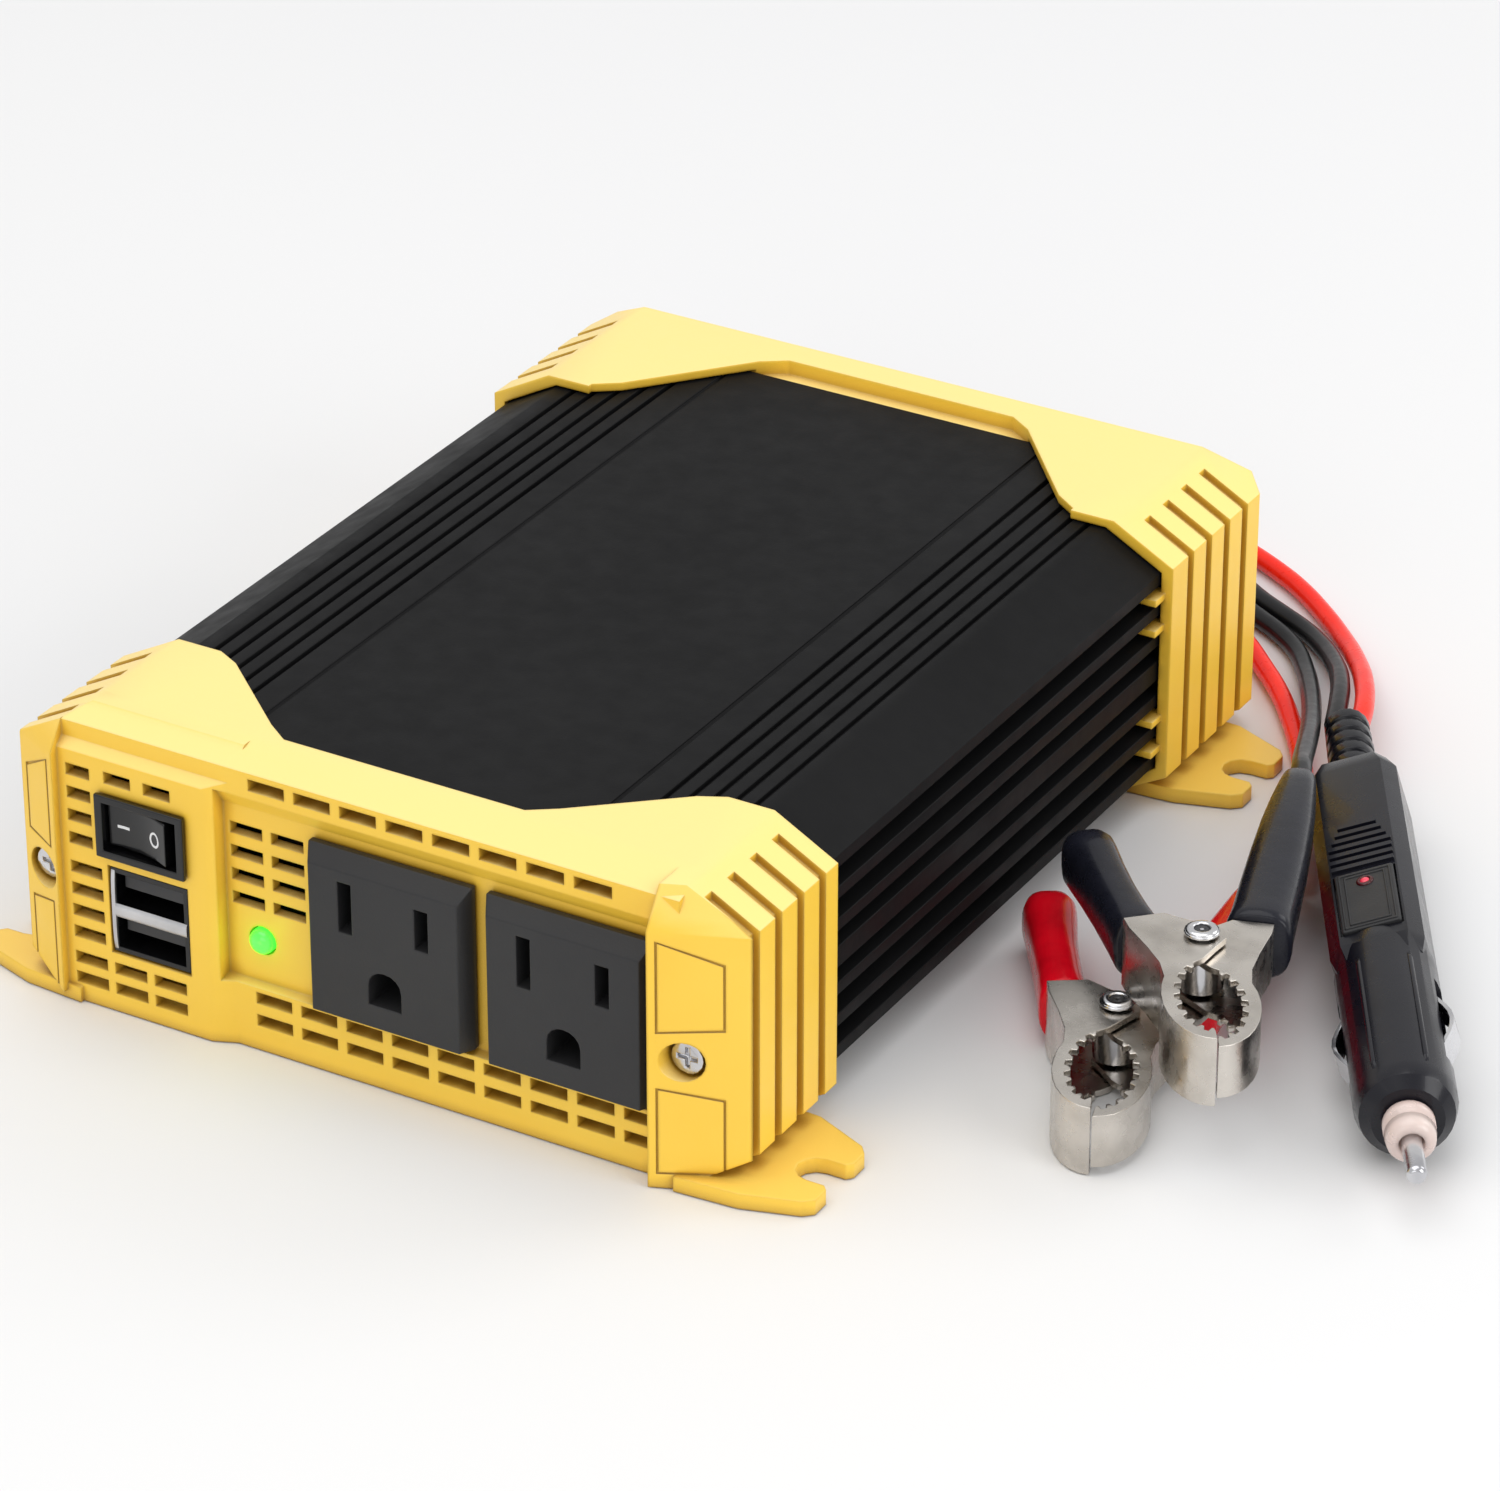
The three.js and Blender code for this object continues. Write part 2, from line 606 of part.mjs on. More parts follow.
function knob(x) {
  const ridges = 12;
  const outline = [];
  for (let k = 0; k < 2 * ridges; k++) {
    const radius = k % 2 ? 6 : 6.6;
    const angle = k * Math.PI / ridges;
    outline.push([x + radius * Math.cos(angle), studZ + radius * Math.sin(angle)]);
  }
  const grip = alongY(outline, rearY + 4.6, knobTipY);
  const collar = barY(5.2, x, studZ, rearY + 2.8, rearY + 5, 20);
  return cut(grip.add(collar), barY(studRadius + gap, x, studZ, rearY, knobTipY - 0.8, 16));
}

const leadRadius = 1.6;
const barrelEndZ = 15.5;
const barrelY = 79.2;

function ringTerminal(x) {
  const y0 = rearY + 1.3;
  const y1 = y0 + 1.2;
  const hole = barY(studRadius + gap, x, studZ, y0 - 1, y1 + 1, 16);
  const ring = barY(5.4, x, studZ, y0, y1, 24).subtract(hole);
  const tongue = box(x - 2.6, x + 2.6, y0, y1, 21, studZ - 4);
  const barrel = alongZ(roundedRect(x - 4.2, x + 4.2, y0, barrelY + 2.4, 2), barrelEndZ + gap, 22.8);
  return joined(ring, tongue, barrel);
}

// ---- leads: a wound coil of each stays behind the case, the rest lies on the surface ----
const coilMidRadius = 18;
const coilPitch = 3.5;
const coilHeight = 7;
const coilY = 101.5;
const coilX = { plug: -51, clamp: -6 };
const coilReach = 12;               // from a coil's centre to where its lead meets the ring
const coilZ = { plug_red: 0, plug_black: coilHeight + gap, clamp_red: 0, clamp_black: coilHeight + gap };

const nearSide = coilY - 20;
const farSide = coilY + 20;
const plugRing = coilX.plug + coilReach;
const clampRing = coilX.clamp + coilReach;

// From the ring terminal of each post down and along to its coil.
const leadIn = {
  plug_red: [[38.9, 79.2, 15.5], [38.9, 79.2, 12], [38.4, 78.7, 8], [36.6, 78, 4.4], [32, 77.5, 2.2],
    [25, 77.4, 1.7], [10, 77.4, 1.7], [-10, 77.4, 1.7], [-22, 78, 1.7], [-31, 79.6, 1.7],
    [plugRing, nearSide, 1.7]],
  plug_black: [[16.9, 79.2, 15.5], [16.9, 79.2, 12.8], [15.8, 78.5, 9.8], [12.4, 77.7, 7], [6, 77.4, 5.8],
    [-6, 77.4, 5.7], [-18, 77.6, 5.9], [-26, 78.6, 7.2], [-32, 80, 8.5], [plugRing, nearSide, 9.1]],
  clamp_red: [[35.1, 79.2, 15.5], [35.1, 79.3, 12], [33.8, 80.2, 7.6], [30.6, 81.1, 4], [25, 81.5, 2.2],
    [18, 81.6, 1.7], [12, 81.6, 1.7], [clampRing, nearSide, 1.7]],
  clamp_black: [[13.1, 79.2, 15.5], [12.9, 79.3, 13.4], [12, 79.8, 11.4], [10, 80.6, 9.9],
    [clampRing, nearSide, 9.1]],
};

// From the coil to the plug or to the clamp, round the right rear corner of the case.
const leadOut = {
  plug_red: [[plugRing, farSide, 5.2], [-32, 124, 3], [-22, 127.8, 1.7], [-10, 129.4, 1.7],
    [4, 129.8, 1.7], [16, 128.6, 1.7], [27, 125.6, 1.7], [36, 121.3, 1.7], [41.3, 118.4, 1.7],
    [46.9, 114.8, 1.7],
    [54.6, 108.4, 1.7], [61.2, 101.5, 2.2], [67.6, 92.9, 4], [73.7, 82.6, 6.4], [78.3, 72.8, 8],
    [80.5, 66.4, 8.45]],
  plug_black: [[plugRing, farSide, 12.6], [-34, 121.8, 11], [-27, 123, 7.6], [-20, 124.6, 4.2],
    [-12, 125.6, 2.2],
    [0, 125.7, 1.7], [11, 124.6, 1.7], [21, 121.8, 1.7], [30, 117.2, 1.7], [37, 112.4, 1.7], [43.4, 108, 1.7],
    [48.9, 105, 1.7], [53.8, 102.3, 1.7], [58.7, 98.2, 2.2], [65, 90.3, 4], [70.7, 80.3, 6.5],
    [74.8, 70.8, 8],
    [77.2, 64.5, 8.45]],
  clamp_red: [[clampRing, farSide, 5.2], [13, 118.2, 3], [20, 114, 1.7], [29, 107.4, 1.7], [38, 101, 1.7],
    [47.3, 94.1, 1.7], [53.9, 87.6, 1.7], [60.2, 80.8, 1.7], [65.7, 73.6, 1.7], [70.2, 67, 1.7],
    [74.3, 60.1, 1.7],
    [78.5, 52.1, 1.7], [82.1, 44.4, 2], [84.9, 37.7, 3.4], [86.8, 32.4, 4.8], [87.4, 28.5, 5.5]],
  clamp_black: [[clampRing, farSide, 12.6], [11, 120.6, 11], [17, 119, 7.6], [24, 116, 4.2],
    [30.6, 111.9, 2.2],
    [36, 108.2, 1.7], [41.2, 104.9, 1.7], [46.4, 101.9, 1.7], [51.4, 98.9, 1.7], [56.1, 95, 1.7],
    [60.6, 88.8, 2.4],
    [65.3, 80.7, 4.2], [70.4, 70.7, 6.8], [75.1, 60.4, 9.8], [79.5, 49.8, 13], [83.4, 40, 15.8],
    [85.4, 35.5, 17.2],
    [86.9, 31.8, 17.7]],
};

function leadTube(points, steps) {
  const curve = new THREE.CatmullRomCurve3(points.map(([x, y, z]) => new THREE.Vector3(x, y, z)),
    false, 'centripetal');
  const sides = 8;
  const section = [];
  for (let k = 0; k < sides; k++) {
    const angle = (k + 0.5) * fullTurn / sides;
    section.push([leadRadius * Math.cos(angle), leadRadius * Math.sin(angle)]);
  }
  return toSolid(new THREE.ExtrudeGeometry(outlineShape(section),
    { steps, extrudePath: curve, bevelEnabled: false }));
}

function coilRing(x, z0) {
  const inner = coilMidRadius - coilPitch;
  const outer = coilMidRadius + coilPitch;
  const profile = [[inner, z0 + 0.05], [outer, z0 + 0.05], [outer, z0 + coilHeight],
    [inner, z0 + coilHeight], [inner, z0 + 0.05]];
  const geometry = new THREE.LatheGeometry(profile.map(([r, z]) => new THREE.Vector2(r, z)), 32);
  geometry.rotateX(Math.PI / 2);
  geometry.translate(x, coilY, 0);
  return toSolid(geometry);
}

// ---- 12 V plug, modelled along +X from the rear of its grip, axis at the origin, panel upwards ----
const plugPlace = { x: 88.5, y: 48.7, z: 8.45, turn: -60, roll: 17 };
const plugBody = 94;                // end of the barrel
const plugRadius = 7.5;
const grip = { wide: 7, high: 6.7, corner: 2, end: 55 };
const panel = { start: 36.5, end: 52.5, wide: 4.4 };
const contactStart = 64.5;
const contactLength = 18;
const tipHole = 1.9;

// Cross-section of the grip, a square with cut corners, as a thin slab at x.
function gripSlab(x, scale) {
  const { wide, high, corner } = grip;
  const quarter = [[wide, high - corner], [wide - corner, high]];
  const half = [...quarter, ...quarter.map(([y, z]) => [-y, z]).reverse()];
  const outline = [...half, ...half.map(([y, z]) => [-y, -z])];
  return alongX(outline.map(([y, z]) => [y * scale, z * scale]), x, x + 0.1);
}

function plugBodySolid() {
  const slabs = [gripSlab(0, 0.8), gripSlab(5, 1), gripSlab(grip.end, 1), gripSlab(grip.end + 3, 0.9)];
  const barrel = turnedX([[grip.end - 8, 0], [grip.end - 8, 6.5], [grip.end + 1, plugRadius],
    [plugBody - 4, plugRadius - 0.1], [plugBody - 1.5, plugRadius - 0.7], [plugBody, 5.2], [plugBody, 0]],
    28);
  const ribs = [];
  for (let k = 0; k < 7; k++) {
    const x = panel.start - 2.4 - 1.95 * k;
    const reach = 4.7 - 0.6 * Math.max(0, k - 3);
    ribs.push(box(x, x + 1, -reach, reach, grip.high - 0.5, grip.high + 0.5));
  }
  const tipBore = turnedX([[plugBody - 14, 0], [plugBody - 14, tipHole], [plugBody + 1, tipHole],
    [plugBody + 1, 0]], 16);
  let body = cut(joined(wasm.Manifold.hull(slabs), barrel, ...ribs), tipBore);
  for (const side of [-1, 1]) {
    const edges = [side * 3.2, side * 11].sort((a, b) => a - b);
    body = cut(body, box(contactStart - 1.5, contactStart + contactLength + 1.5, ...edges, -2.4, 2.4));
  }
  const pocket = box(panel.start - gap, panel.end + gap, -panel.wide - gap, panel.wide + gap,
    grip.high - 1.2, 10);
  return cut(body, pocket);
}

function plugRelief() {
  const profile = [[-19, 0], [-19, 2.9]];
  for (let k = 0; k < 5; k++) {
    const x = -18.8 + k * 3.5;
    const radius = 3.5 + k * 0.08;
    profile.push([x, radius], [x + 2.2, radius], [x + 2.4, radius - 0.7], [x + 3.3, radius - 0.7]);
  }
  profile.push([-1, 4.6], [-gap, 4.6], [-gap, 0]);
  return turnedX(profile, 16);
}

const plugPanel = () => box(panel.start, panel.end, -panel.wide, panel.wide, grip.high - 0.9,
  grip.high + 0.5);

function plugNose() {
  return turnedX([[plugBody + gap, tipHole], [plugBody + gap, 4.1], [plugBody + 6, 4.1],
    [plugBody + 8.5, 3.3],
    [plugBody + 8.5, tipHole], [plugBody + gap, tipHole]], 20);
}

function plugPin() {
  const end = plugBody + 14.5;
  return turnedX([[plugBody - 8, 0], [plugBody - 8, 1.5], [end - 0.6, 1.5], [end, 1], [end, 0]], 16);
}

// A bowed spring strip in its slot at one side of the barrel.
function plugContact(side) {
  const thick = 0.6;
  const steps = 10;
  const outer = [];
  const inner = [];
  for (let k = 0; k <= steps; k++) {
    const x = contactStart + k * contactLength / steps;
    const bow = 6.1 + 2.8 * Math.sin(Math.PI * k / steps) ** 1.5;
    outer.push([x, side * bow]);
    inner.unshift([x, side * (bow - thick)]);
  }
  return alongZ([...outer, ...inner], -2, 2);
}

// ---- battery clamp, modelled on its side: pivot at the origin, jaws towards +X, lead's half at +Y ----
const jaw = { x: 16.5, long: 11.5, wide: 7 };     // outer outline of the closed jaws, half sizes
const mouth = { long: 9.6, wide: 5.2, tooth: 0.9 };
const sheet = 1;
const clampWide = 11;
const handleTurn = 13;              // degrees from the clamp's own axis
const handleRoot = [-2, 7];
const sleeveStart = 4;
const sleeveEnd = 33;
const bootEnd = 53;
const clampPin = 1.5;

function alongHandle(distance, across) {
  const angle = THREE.MathUtils.degToRad(handleTurn);
  const [c, s] = [Math.cos(angle), Math.sin(angle)];
  return [handleRoot[0] - distance * c + across * s, handleRoot[1] + distance * s + across * c];
}

// Outer edge of one half from the jaw's tip back to the handle, moved inwards by trim.
function halfOuterEdge(trim) {
  const points = [];
  for (let k = 0; k <= 9; k++) {
    const angle = THREE.MathUtils.degToRad(1 + k * 13);
    points.push([jaw.x + (jaw.long - trim) * Math.cos(angle), (jaw.wide - trim) * Math.sin(angle)]);
  }
  points.push([7.5, 6.5 - trim], [3, 8 - trim], alongHandle(1, 3 - trim));
  return points;
}

function halfOutline() {
  const points = [...halfOuterEdge(0), alongHandle(sleeveStart - 0.4, 3), alongHandle(sleeveStart - 0.4, -3)];
  points.push([-4, 1.4], [-3.2, -1.4], [-1.6, -3.2], [1, -3.4], [3.2, -1.8], [6.2, 0.15]);
  const teeth = 9;
  for (let k = 0; k < teeth; k++) {
    for (const [share, depth] of [[0.1, 0], [0.5, 0], [0.7, mouth.tooth], [1, mouth.tooth]]) {
      const angle = THREE.MathUtils.degToRad(168 - (k + share) * 164 / teeth);
      points.push([jaw.x + (mouth.long - depth) * Math.cos(angle), (mouth.wide - depth) * Math.sin(angle)]);
    }
  }
  points.push([jaw.x + mouth.long, 0.15]);
  return points;
}

function halfHollow() {
  const end = sleeveStart + 2;
  return [...halfOuterEdge(sheet), alongHandle(end, 3 - sheet), alongHandle(end, -5), [-8, -9], [9, -9],
    [jaw.x, -6], [jaw.x + jaw.long - 2, -2], [jaw.x + jaw.long - sheet, 0.1]];
}

function clampHalf(inset) {
  const z0 = inset;
  const z1 = clampWide - inset;
  let half = alongZ(halfOutline(), z0, z1);
  half = cut(half, alongZ(halfHollow(), z0 + sheet, z1 - sheet));
  half = cut(half, barZ(clampPin + gap, 0, 0, -1, clampWide + 1, 16));
  const tongue = [[sleeveStart - 2, 2.7], [sleeveEnd - 5, 2.3], [sleeveEnd - 5, 1.3], [sleeveStart - 2, 1.7]];
  return half.add(alongZ(tongue.map(([d, across]) => alongHandle(d, across)), 3, clampWide - 3));
}

function tonguePocket() {
  const pocket = [[0, 3.4], [sleeveEnd - 4, 2.8], [sleeveEnd - 4, 1], [0, 1.6]];
  return alongZ(pocket.map(([d, across]) => alongHandle(d, across)), 2.6, clampWide - 2.6);
}

function shortSleeve() {
  const outline = [alongHandle(sleeveStart, 3.9), alongHandle(16, 3.9), alongHandle(sleeveEnd - 6, 4.4)];
  for (let k = 0; k <= 6; k++) {
    const angle = Math.PI / 2 - k * Math.PI / 6;
    outline.push(alongHandle(sleeveEnd - 4.2 + 4.2 * Math.cos(angle), 0.2 + 4.2 * Math.sin(angle)));
  }
  outline.push(alongHandle(16, -3), alongHandle(sleeveStart, -3.2));
  return cut(alongZ(outline, 0.6, clampWide - 0.6), tonguePocket());
}

function leadBoot() {
  const plan = [[sleeveStart, 4.4], [30, 3.9], [bootEnd - 2, 3.1], [bootEnd, 2.2], [bootEnd, -1.8],
    [bootEnd - 2, -2.7], [30, -3.3], [sleeveStart, -3.6]];
  const outline = plan.map(([d, across]) => alongHandle(d, across));
  const taper = [[10, 0.5], [10, clampWide - 0.5], [-20, clampWide - 1], [-51.5, clampWide - 2.2],
    [-54, clampWide - 3.2],
    [-54, 3.2], [-51.5, 2.2], [-20, 1]];
  const side = alongX(taper.map(([a, z]) => [-a, z]), -40, 40).rotate([0, 0, 90]);
  return cut(alongZ(outline, 0, clampWide).intersect(side), tonguePocket());
}

function springRing() {
  const profile = [[2.1, 2.8], [3.4, 2.8], [3.4, clampWide - 2.8], [2.1, clampWide - 2.8], [2.1, 2.8]];
  const geometry = new THREE.LatheGeometry(profile.map(([r, z]) => new THREE.Vector2(r, z)), 16);
  geometry.rotateX(Math.PI / 2);
  return toSolid(geometry);
}

function pivotPin() {
  return barZ(clampPin, 0, 0, 0.2, clampWide + gap + 0.1, 14).add(barZ(2.6, 0, 0, clampWide + gap,
    clampWide + 0.9, 14));
}

const flipped = (solid) => solid.mirror([0, 1, 0]);

function addClamp(colour, place, vinyl) {
  const group = new THREE.Group();
  group.position.set(place.x, place.y, place.z);
  group.rotation.z = THREE.MathUtils.degToRad(place.turn);
  addNode(`${colour}_clamp_fixed_jaw`, clampHalf(sheet + gap), steel, group);
  addNode(`${colour}_clamp_moving_jaw`, flipped(clampHalf(0)), steel, group);
  addNode(`${colour}_clamp_pin`, pivotPin(), steel, group);
  addNode(`${colour}_clamp_spring`, springRing(), steel, group);
  addNode(`${colour}_clamp_boot`, leadBoot(), vinyl, group);
  addNode(`${colour}_clamp_sleeve`, flipped(shortSleeve()), vinyl, group);
  inverter.add(group);
}

// ---- assembly ----
addNode('case_extrusion', caseExtrusion(), blackAnodised);
addNode('front_end_cap', frontCap(), yellowPlastic);
addNode('rear_end_cap', rearCap(), yellowPlastic);
addNode('outlet_left', outlet(outletCentres[0]), outletPlastic);
addNode('outlet_right', outlet(outletCentres[1]), outletPlastic);
addNode('switch_bezel', switchBezel(), glossBlack);
addNode('switch_rocker', switchRocker(), glossBlack);
addNode('usb_shell', usbShell(), steel);
addNode('usb_tongue_lower', usbTongue(usbZ0 + 3.3), glossBlack);
addNode('usb_tongue_upper', usbTongue((usbZ0 + usbZ1) / 2 + 3.4), glossBlack);
addNode('status_led', statusLed(), ledGreen);
addNode('screw_front_left', capScrew(frontScrewXs[0], frontScrewZ, frontScrewY - gap, -1, 3.2), steel);
addNode('screw_front_right', capScrew(frontScrewXs[1], frontScrewZ, frontScrewY - gap, -1, 3.2), steel);
addNode('screw_rear_left', capScrew(-screwX, screwZ, rearScrewY + gap, 1, 16), steel);
addNode('screw_rear_right', capScrew(screwX, screwZ, rearScrewY + gap, 1, 16), steel);

addNode('circuit_board', circuitBoard(), boardGreen);
addNode('transformer', transformer(), ferrite);
addNode('capacitor_front', capacitor(-36, -48), blackVinyl);
addNode('capacitor_rear', capacitor(-36, -32), blackVinyl);
addNode('heat_sink_bar', heatSinkBar(), aluminium);
addNode('input_fuse', inputFuse(), redPlastic);
addNode('fan_frame', fanFrame(), glossBlack);
addNode('fan_rotor', fanRotor(), glossBlack);

for (const [colour, x] of Object.entries(studXs)) {
  addNode(`stud_${colour}`, stud(x), brass);
  addNode(`knob_${colour}`, knob(x), colour === 'red' ? redPlastic : glossBlack);
  addNode(`ring_terminal_${colour}`, ringTerminal(x), steel);
}

for (const name of ['plug_red', 'plug_black', 'clamp_red', 'clamp_black']) {
  const vinyl = name.endsWith('red') ? redVinyl : blackVinyl;
  addNode(`lead_${name}_inner`, leadTube(leadIn[name], 14), vinyl);
  addNode(`lead_${name}_coil`, coilRing(coilX[name.split('_')[0]], coilZ[name]), vinyl);
  addNode(`lead_${name}_outer`, leadTube(leadOut[name], 28), vinyl);
}

const plug = new THREE.Group();
plug.position.set(plugPlace.x, plugPlace.y, plugPlace.z);
plug.rotation.order = 'ZYX';
plug.rotation.x = THREE.MathUtils.degToRad(plugPlace.roll);
plug.rotation.z = THREE.MathUtils.degToRad(plugPlace.turn);
addNode('plug_body', plugBodySolid(), blackVinyl, plug);
addNode('plug_strain_relief', plugRelief(), blackVinyl, plug);
addNode('plug_panel', plugPanel(), glossBlack, plug);
addNode('plug_nose_ring', plugNose(), nosePlastic, plug);
addNode('plug_tip_pin', plugPin(), steel, plug);
addNode('plug_contact_left', plugContact(-1), steel, plug);
addNode('plug_contact_right', plugContact(1), steel, plug);
inverter.add(plug);

addClamp('red', { x: 88.3, y: -29.3, z: 0, turn: -69.9 }, redVinyl);
addClamp('black', { x: 98.8, y: -24.4, z: clampWide + 1.2, turn: -58.6 }, blackVinyl);

export default inverter;
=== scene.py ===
# Looks of a 12 V power inverter and its input leads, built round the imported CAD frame.
# The scene is in metres, +X to the right seen from the front, +Y to the rear, +Z up.
# Shapes and their sizes are in millimetres, and add_mesh turns them into metres.
import json
import math

import bmesh
import bpy
from mathutils import Matrix, Vector


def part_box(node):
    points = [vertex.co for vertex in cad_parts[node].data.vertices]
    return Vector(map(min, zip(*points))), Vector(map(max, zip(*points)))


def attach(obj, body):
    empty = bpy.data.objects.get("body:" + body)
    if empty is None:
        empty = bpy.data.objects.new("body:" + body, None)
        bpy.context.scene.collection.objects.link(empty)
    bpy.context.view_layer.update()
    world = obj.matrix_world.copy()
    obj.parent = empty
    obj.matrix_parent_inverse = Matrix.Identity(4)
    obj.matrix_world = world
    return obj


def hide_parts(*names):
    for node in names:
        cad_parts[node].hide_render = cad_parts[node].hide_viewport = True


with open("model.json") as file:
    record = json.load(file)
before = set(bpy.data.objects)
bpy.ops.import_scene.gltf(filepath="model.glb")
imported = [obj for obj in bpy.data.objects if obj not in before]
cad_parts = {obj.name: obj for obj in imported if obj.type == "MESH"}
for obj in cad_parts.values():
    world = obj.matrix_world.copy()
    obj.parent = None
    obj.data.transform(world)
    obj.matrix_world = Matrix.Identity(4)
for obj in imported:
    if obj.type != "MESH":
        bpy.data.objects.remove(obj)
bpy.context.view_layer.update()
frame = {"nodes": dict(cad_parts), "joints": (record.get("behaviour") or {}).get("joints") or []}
nodes = frame["nodes"]
joints = {joint["name"]: joint for joint in frame["joints"]}
scene = bpy.context.scene
MM = 0.001
FULL_TURN = 2 * math.pi


def node_box(name):
    """A CAD node's lowest and highest corners at rest, in millimetres."""
    low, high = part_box(name)
    return Vector(low) / MM, Vector(high) / MM


def joint_point(name):
    """The point that a CAD joint turns about, in millimetres."""
    return Vector(joints[name]["pos_m"]) / MM


# ---- camera ----

def aim_camera(azimuth, elevation, distance, right_shift, up_shift, aim_y, lens):
    """Places the camera at an azimuth and elevation in degrees, distance metres from the point
    (0, aim_y, 0), then moves it sideways and up by the shifts without turning it."""
    a = math.radians(azimuth)
    e = math.radians(elevation)
    back = Vector((math.sin(a) * math.cos(e), -math.cos(a) * math.cos(e), math.sin(e)))
    right = Vector((math.cos(a), math.sin(a), 0))
    up = back.cross(right)
    camera = bpy.data.objects.new("camera", bpy.data.cameras.new("camera"))
    scene.collection.objects.link(camera)
    rotation = Matrix((right, up, back)).transposed().to_4x4()
    aim = Vector((0, aim_y, 0))
    place = aim + distance * back + right_shift * right + up_shift * up
    camera.matrix_world = Matrix.Translation(place) @ rotation
    camera.data.lens = lens
    camera.data.sensor_width = 36
    camera.data.clip_start = 0.05
    camera.data.clip_end = 20
    scene.camera = camera


aim_camera(azimuth=30.247, elevation=29.004, distance=0.972475, right_shift=0.0240475,
           up_shift=0.0246922, aim_y=-0.029, lens=157.016)


# ---- light and background ----

# Places and sizes are in metres, and power is in watts.

def area_light(name, place, target, size, power):
    light = bpy.data.lights.new(name, "AREA")
    light.shape = "RECTANGLE"
    light.size, light.size_y = size
    light.energy = power
    obj = bpy.data.objects.new(name, light)
    obj.location = place
    obj.rotation_euler = (Vector(target) - Vector(place)).to_track_quat("-Z", "Y").to_euler()
    scene.collection.objects.link(obj)


def white_world(strength):
    world = bpy.data.worlds.new("studio")
    world.use_nodes = True
    background = world.node_tree.nodes["Background"]
    background.inputs["Color"].default_value = (1, 1, 1, 1)
    background.inputs["Strength"].default_value = strength
    scene.world = world


scene.view_settings.view_transform = "Standard"
white_world(0.7)
area_light("key", (-0.1, -0.15, 1.1), (0, 0, 0.02), (1.2, 1.2), 6.2)
area_light("front_fill", (0.2, -1.1, 0.5), (0, -0.03, 0.03), (0.9, 0.5), 1.6)
area_light("side_fill", (1.1, -0.15, 0.5), (0, 0, 0.03), (0.6, 0.6), 3.6)
area_light("rear_fill", (0.7, 0.9, 0.7), (0.05, 0.08, 0.01), (0.6, 0.6), 2.4)


# ---- node material helper ----

def rgb(red, green, blue):
    """A linear colour from display values of 0 to 255."""
    def linear(value):
        share = value / 255
        return share / 12.92 if share <= 0.04045 else ((share + 0.055) / 1.055) ** 2.4
    return tuple(linear(value) for value in (red, green, blue))


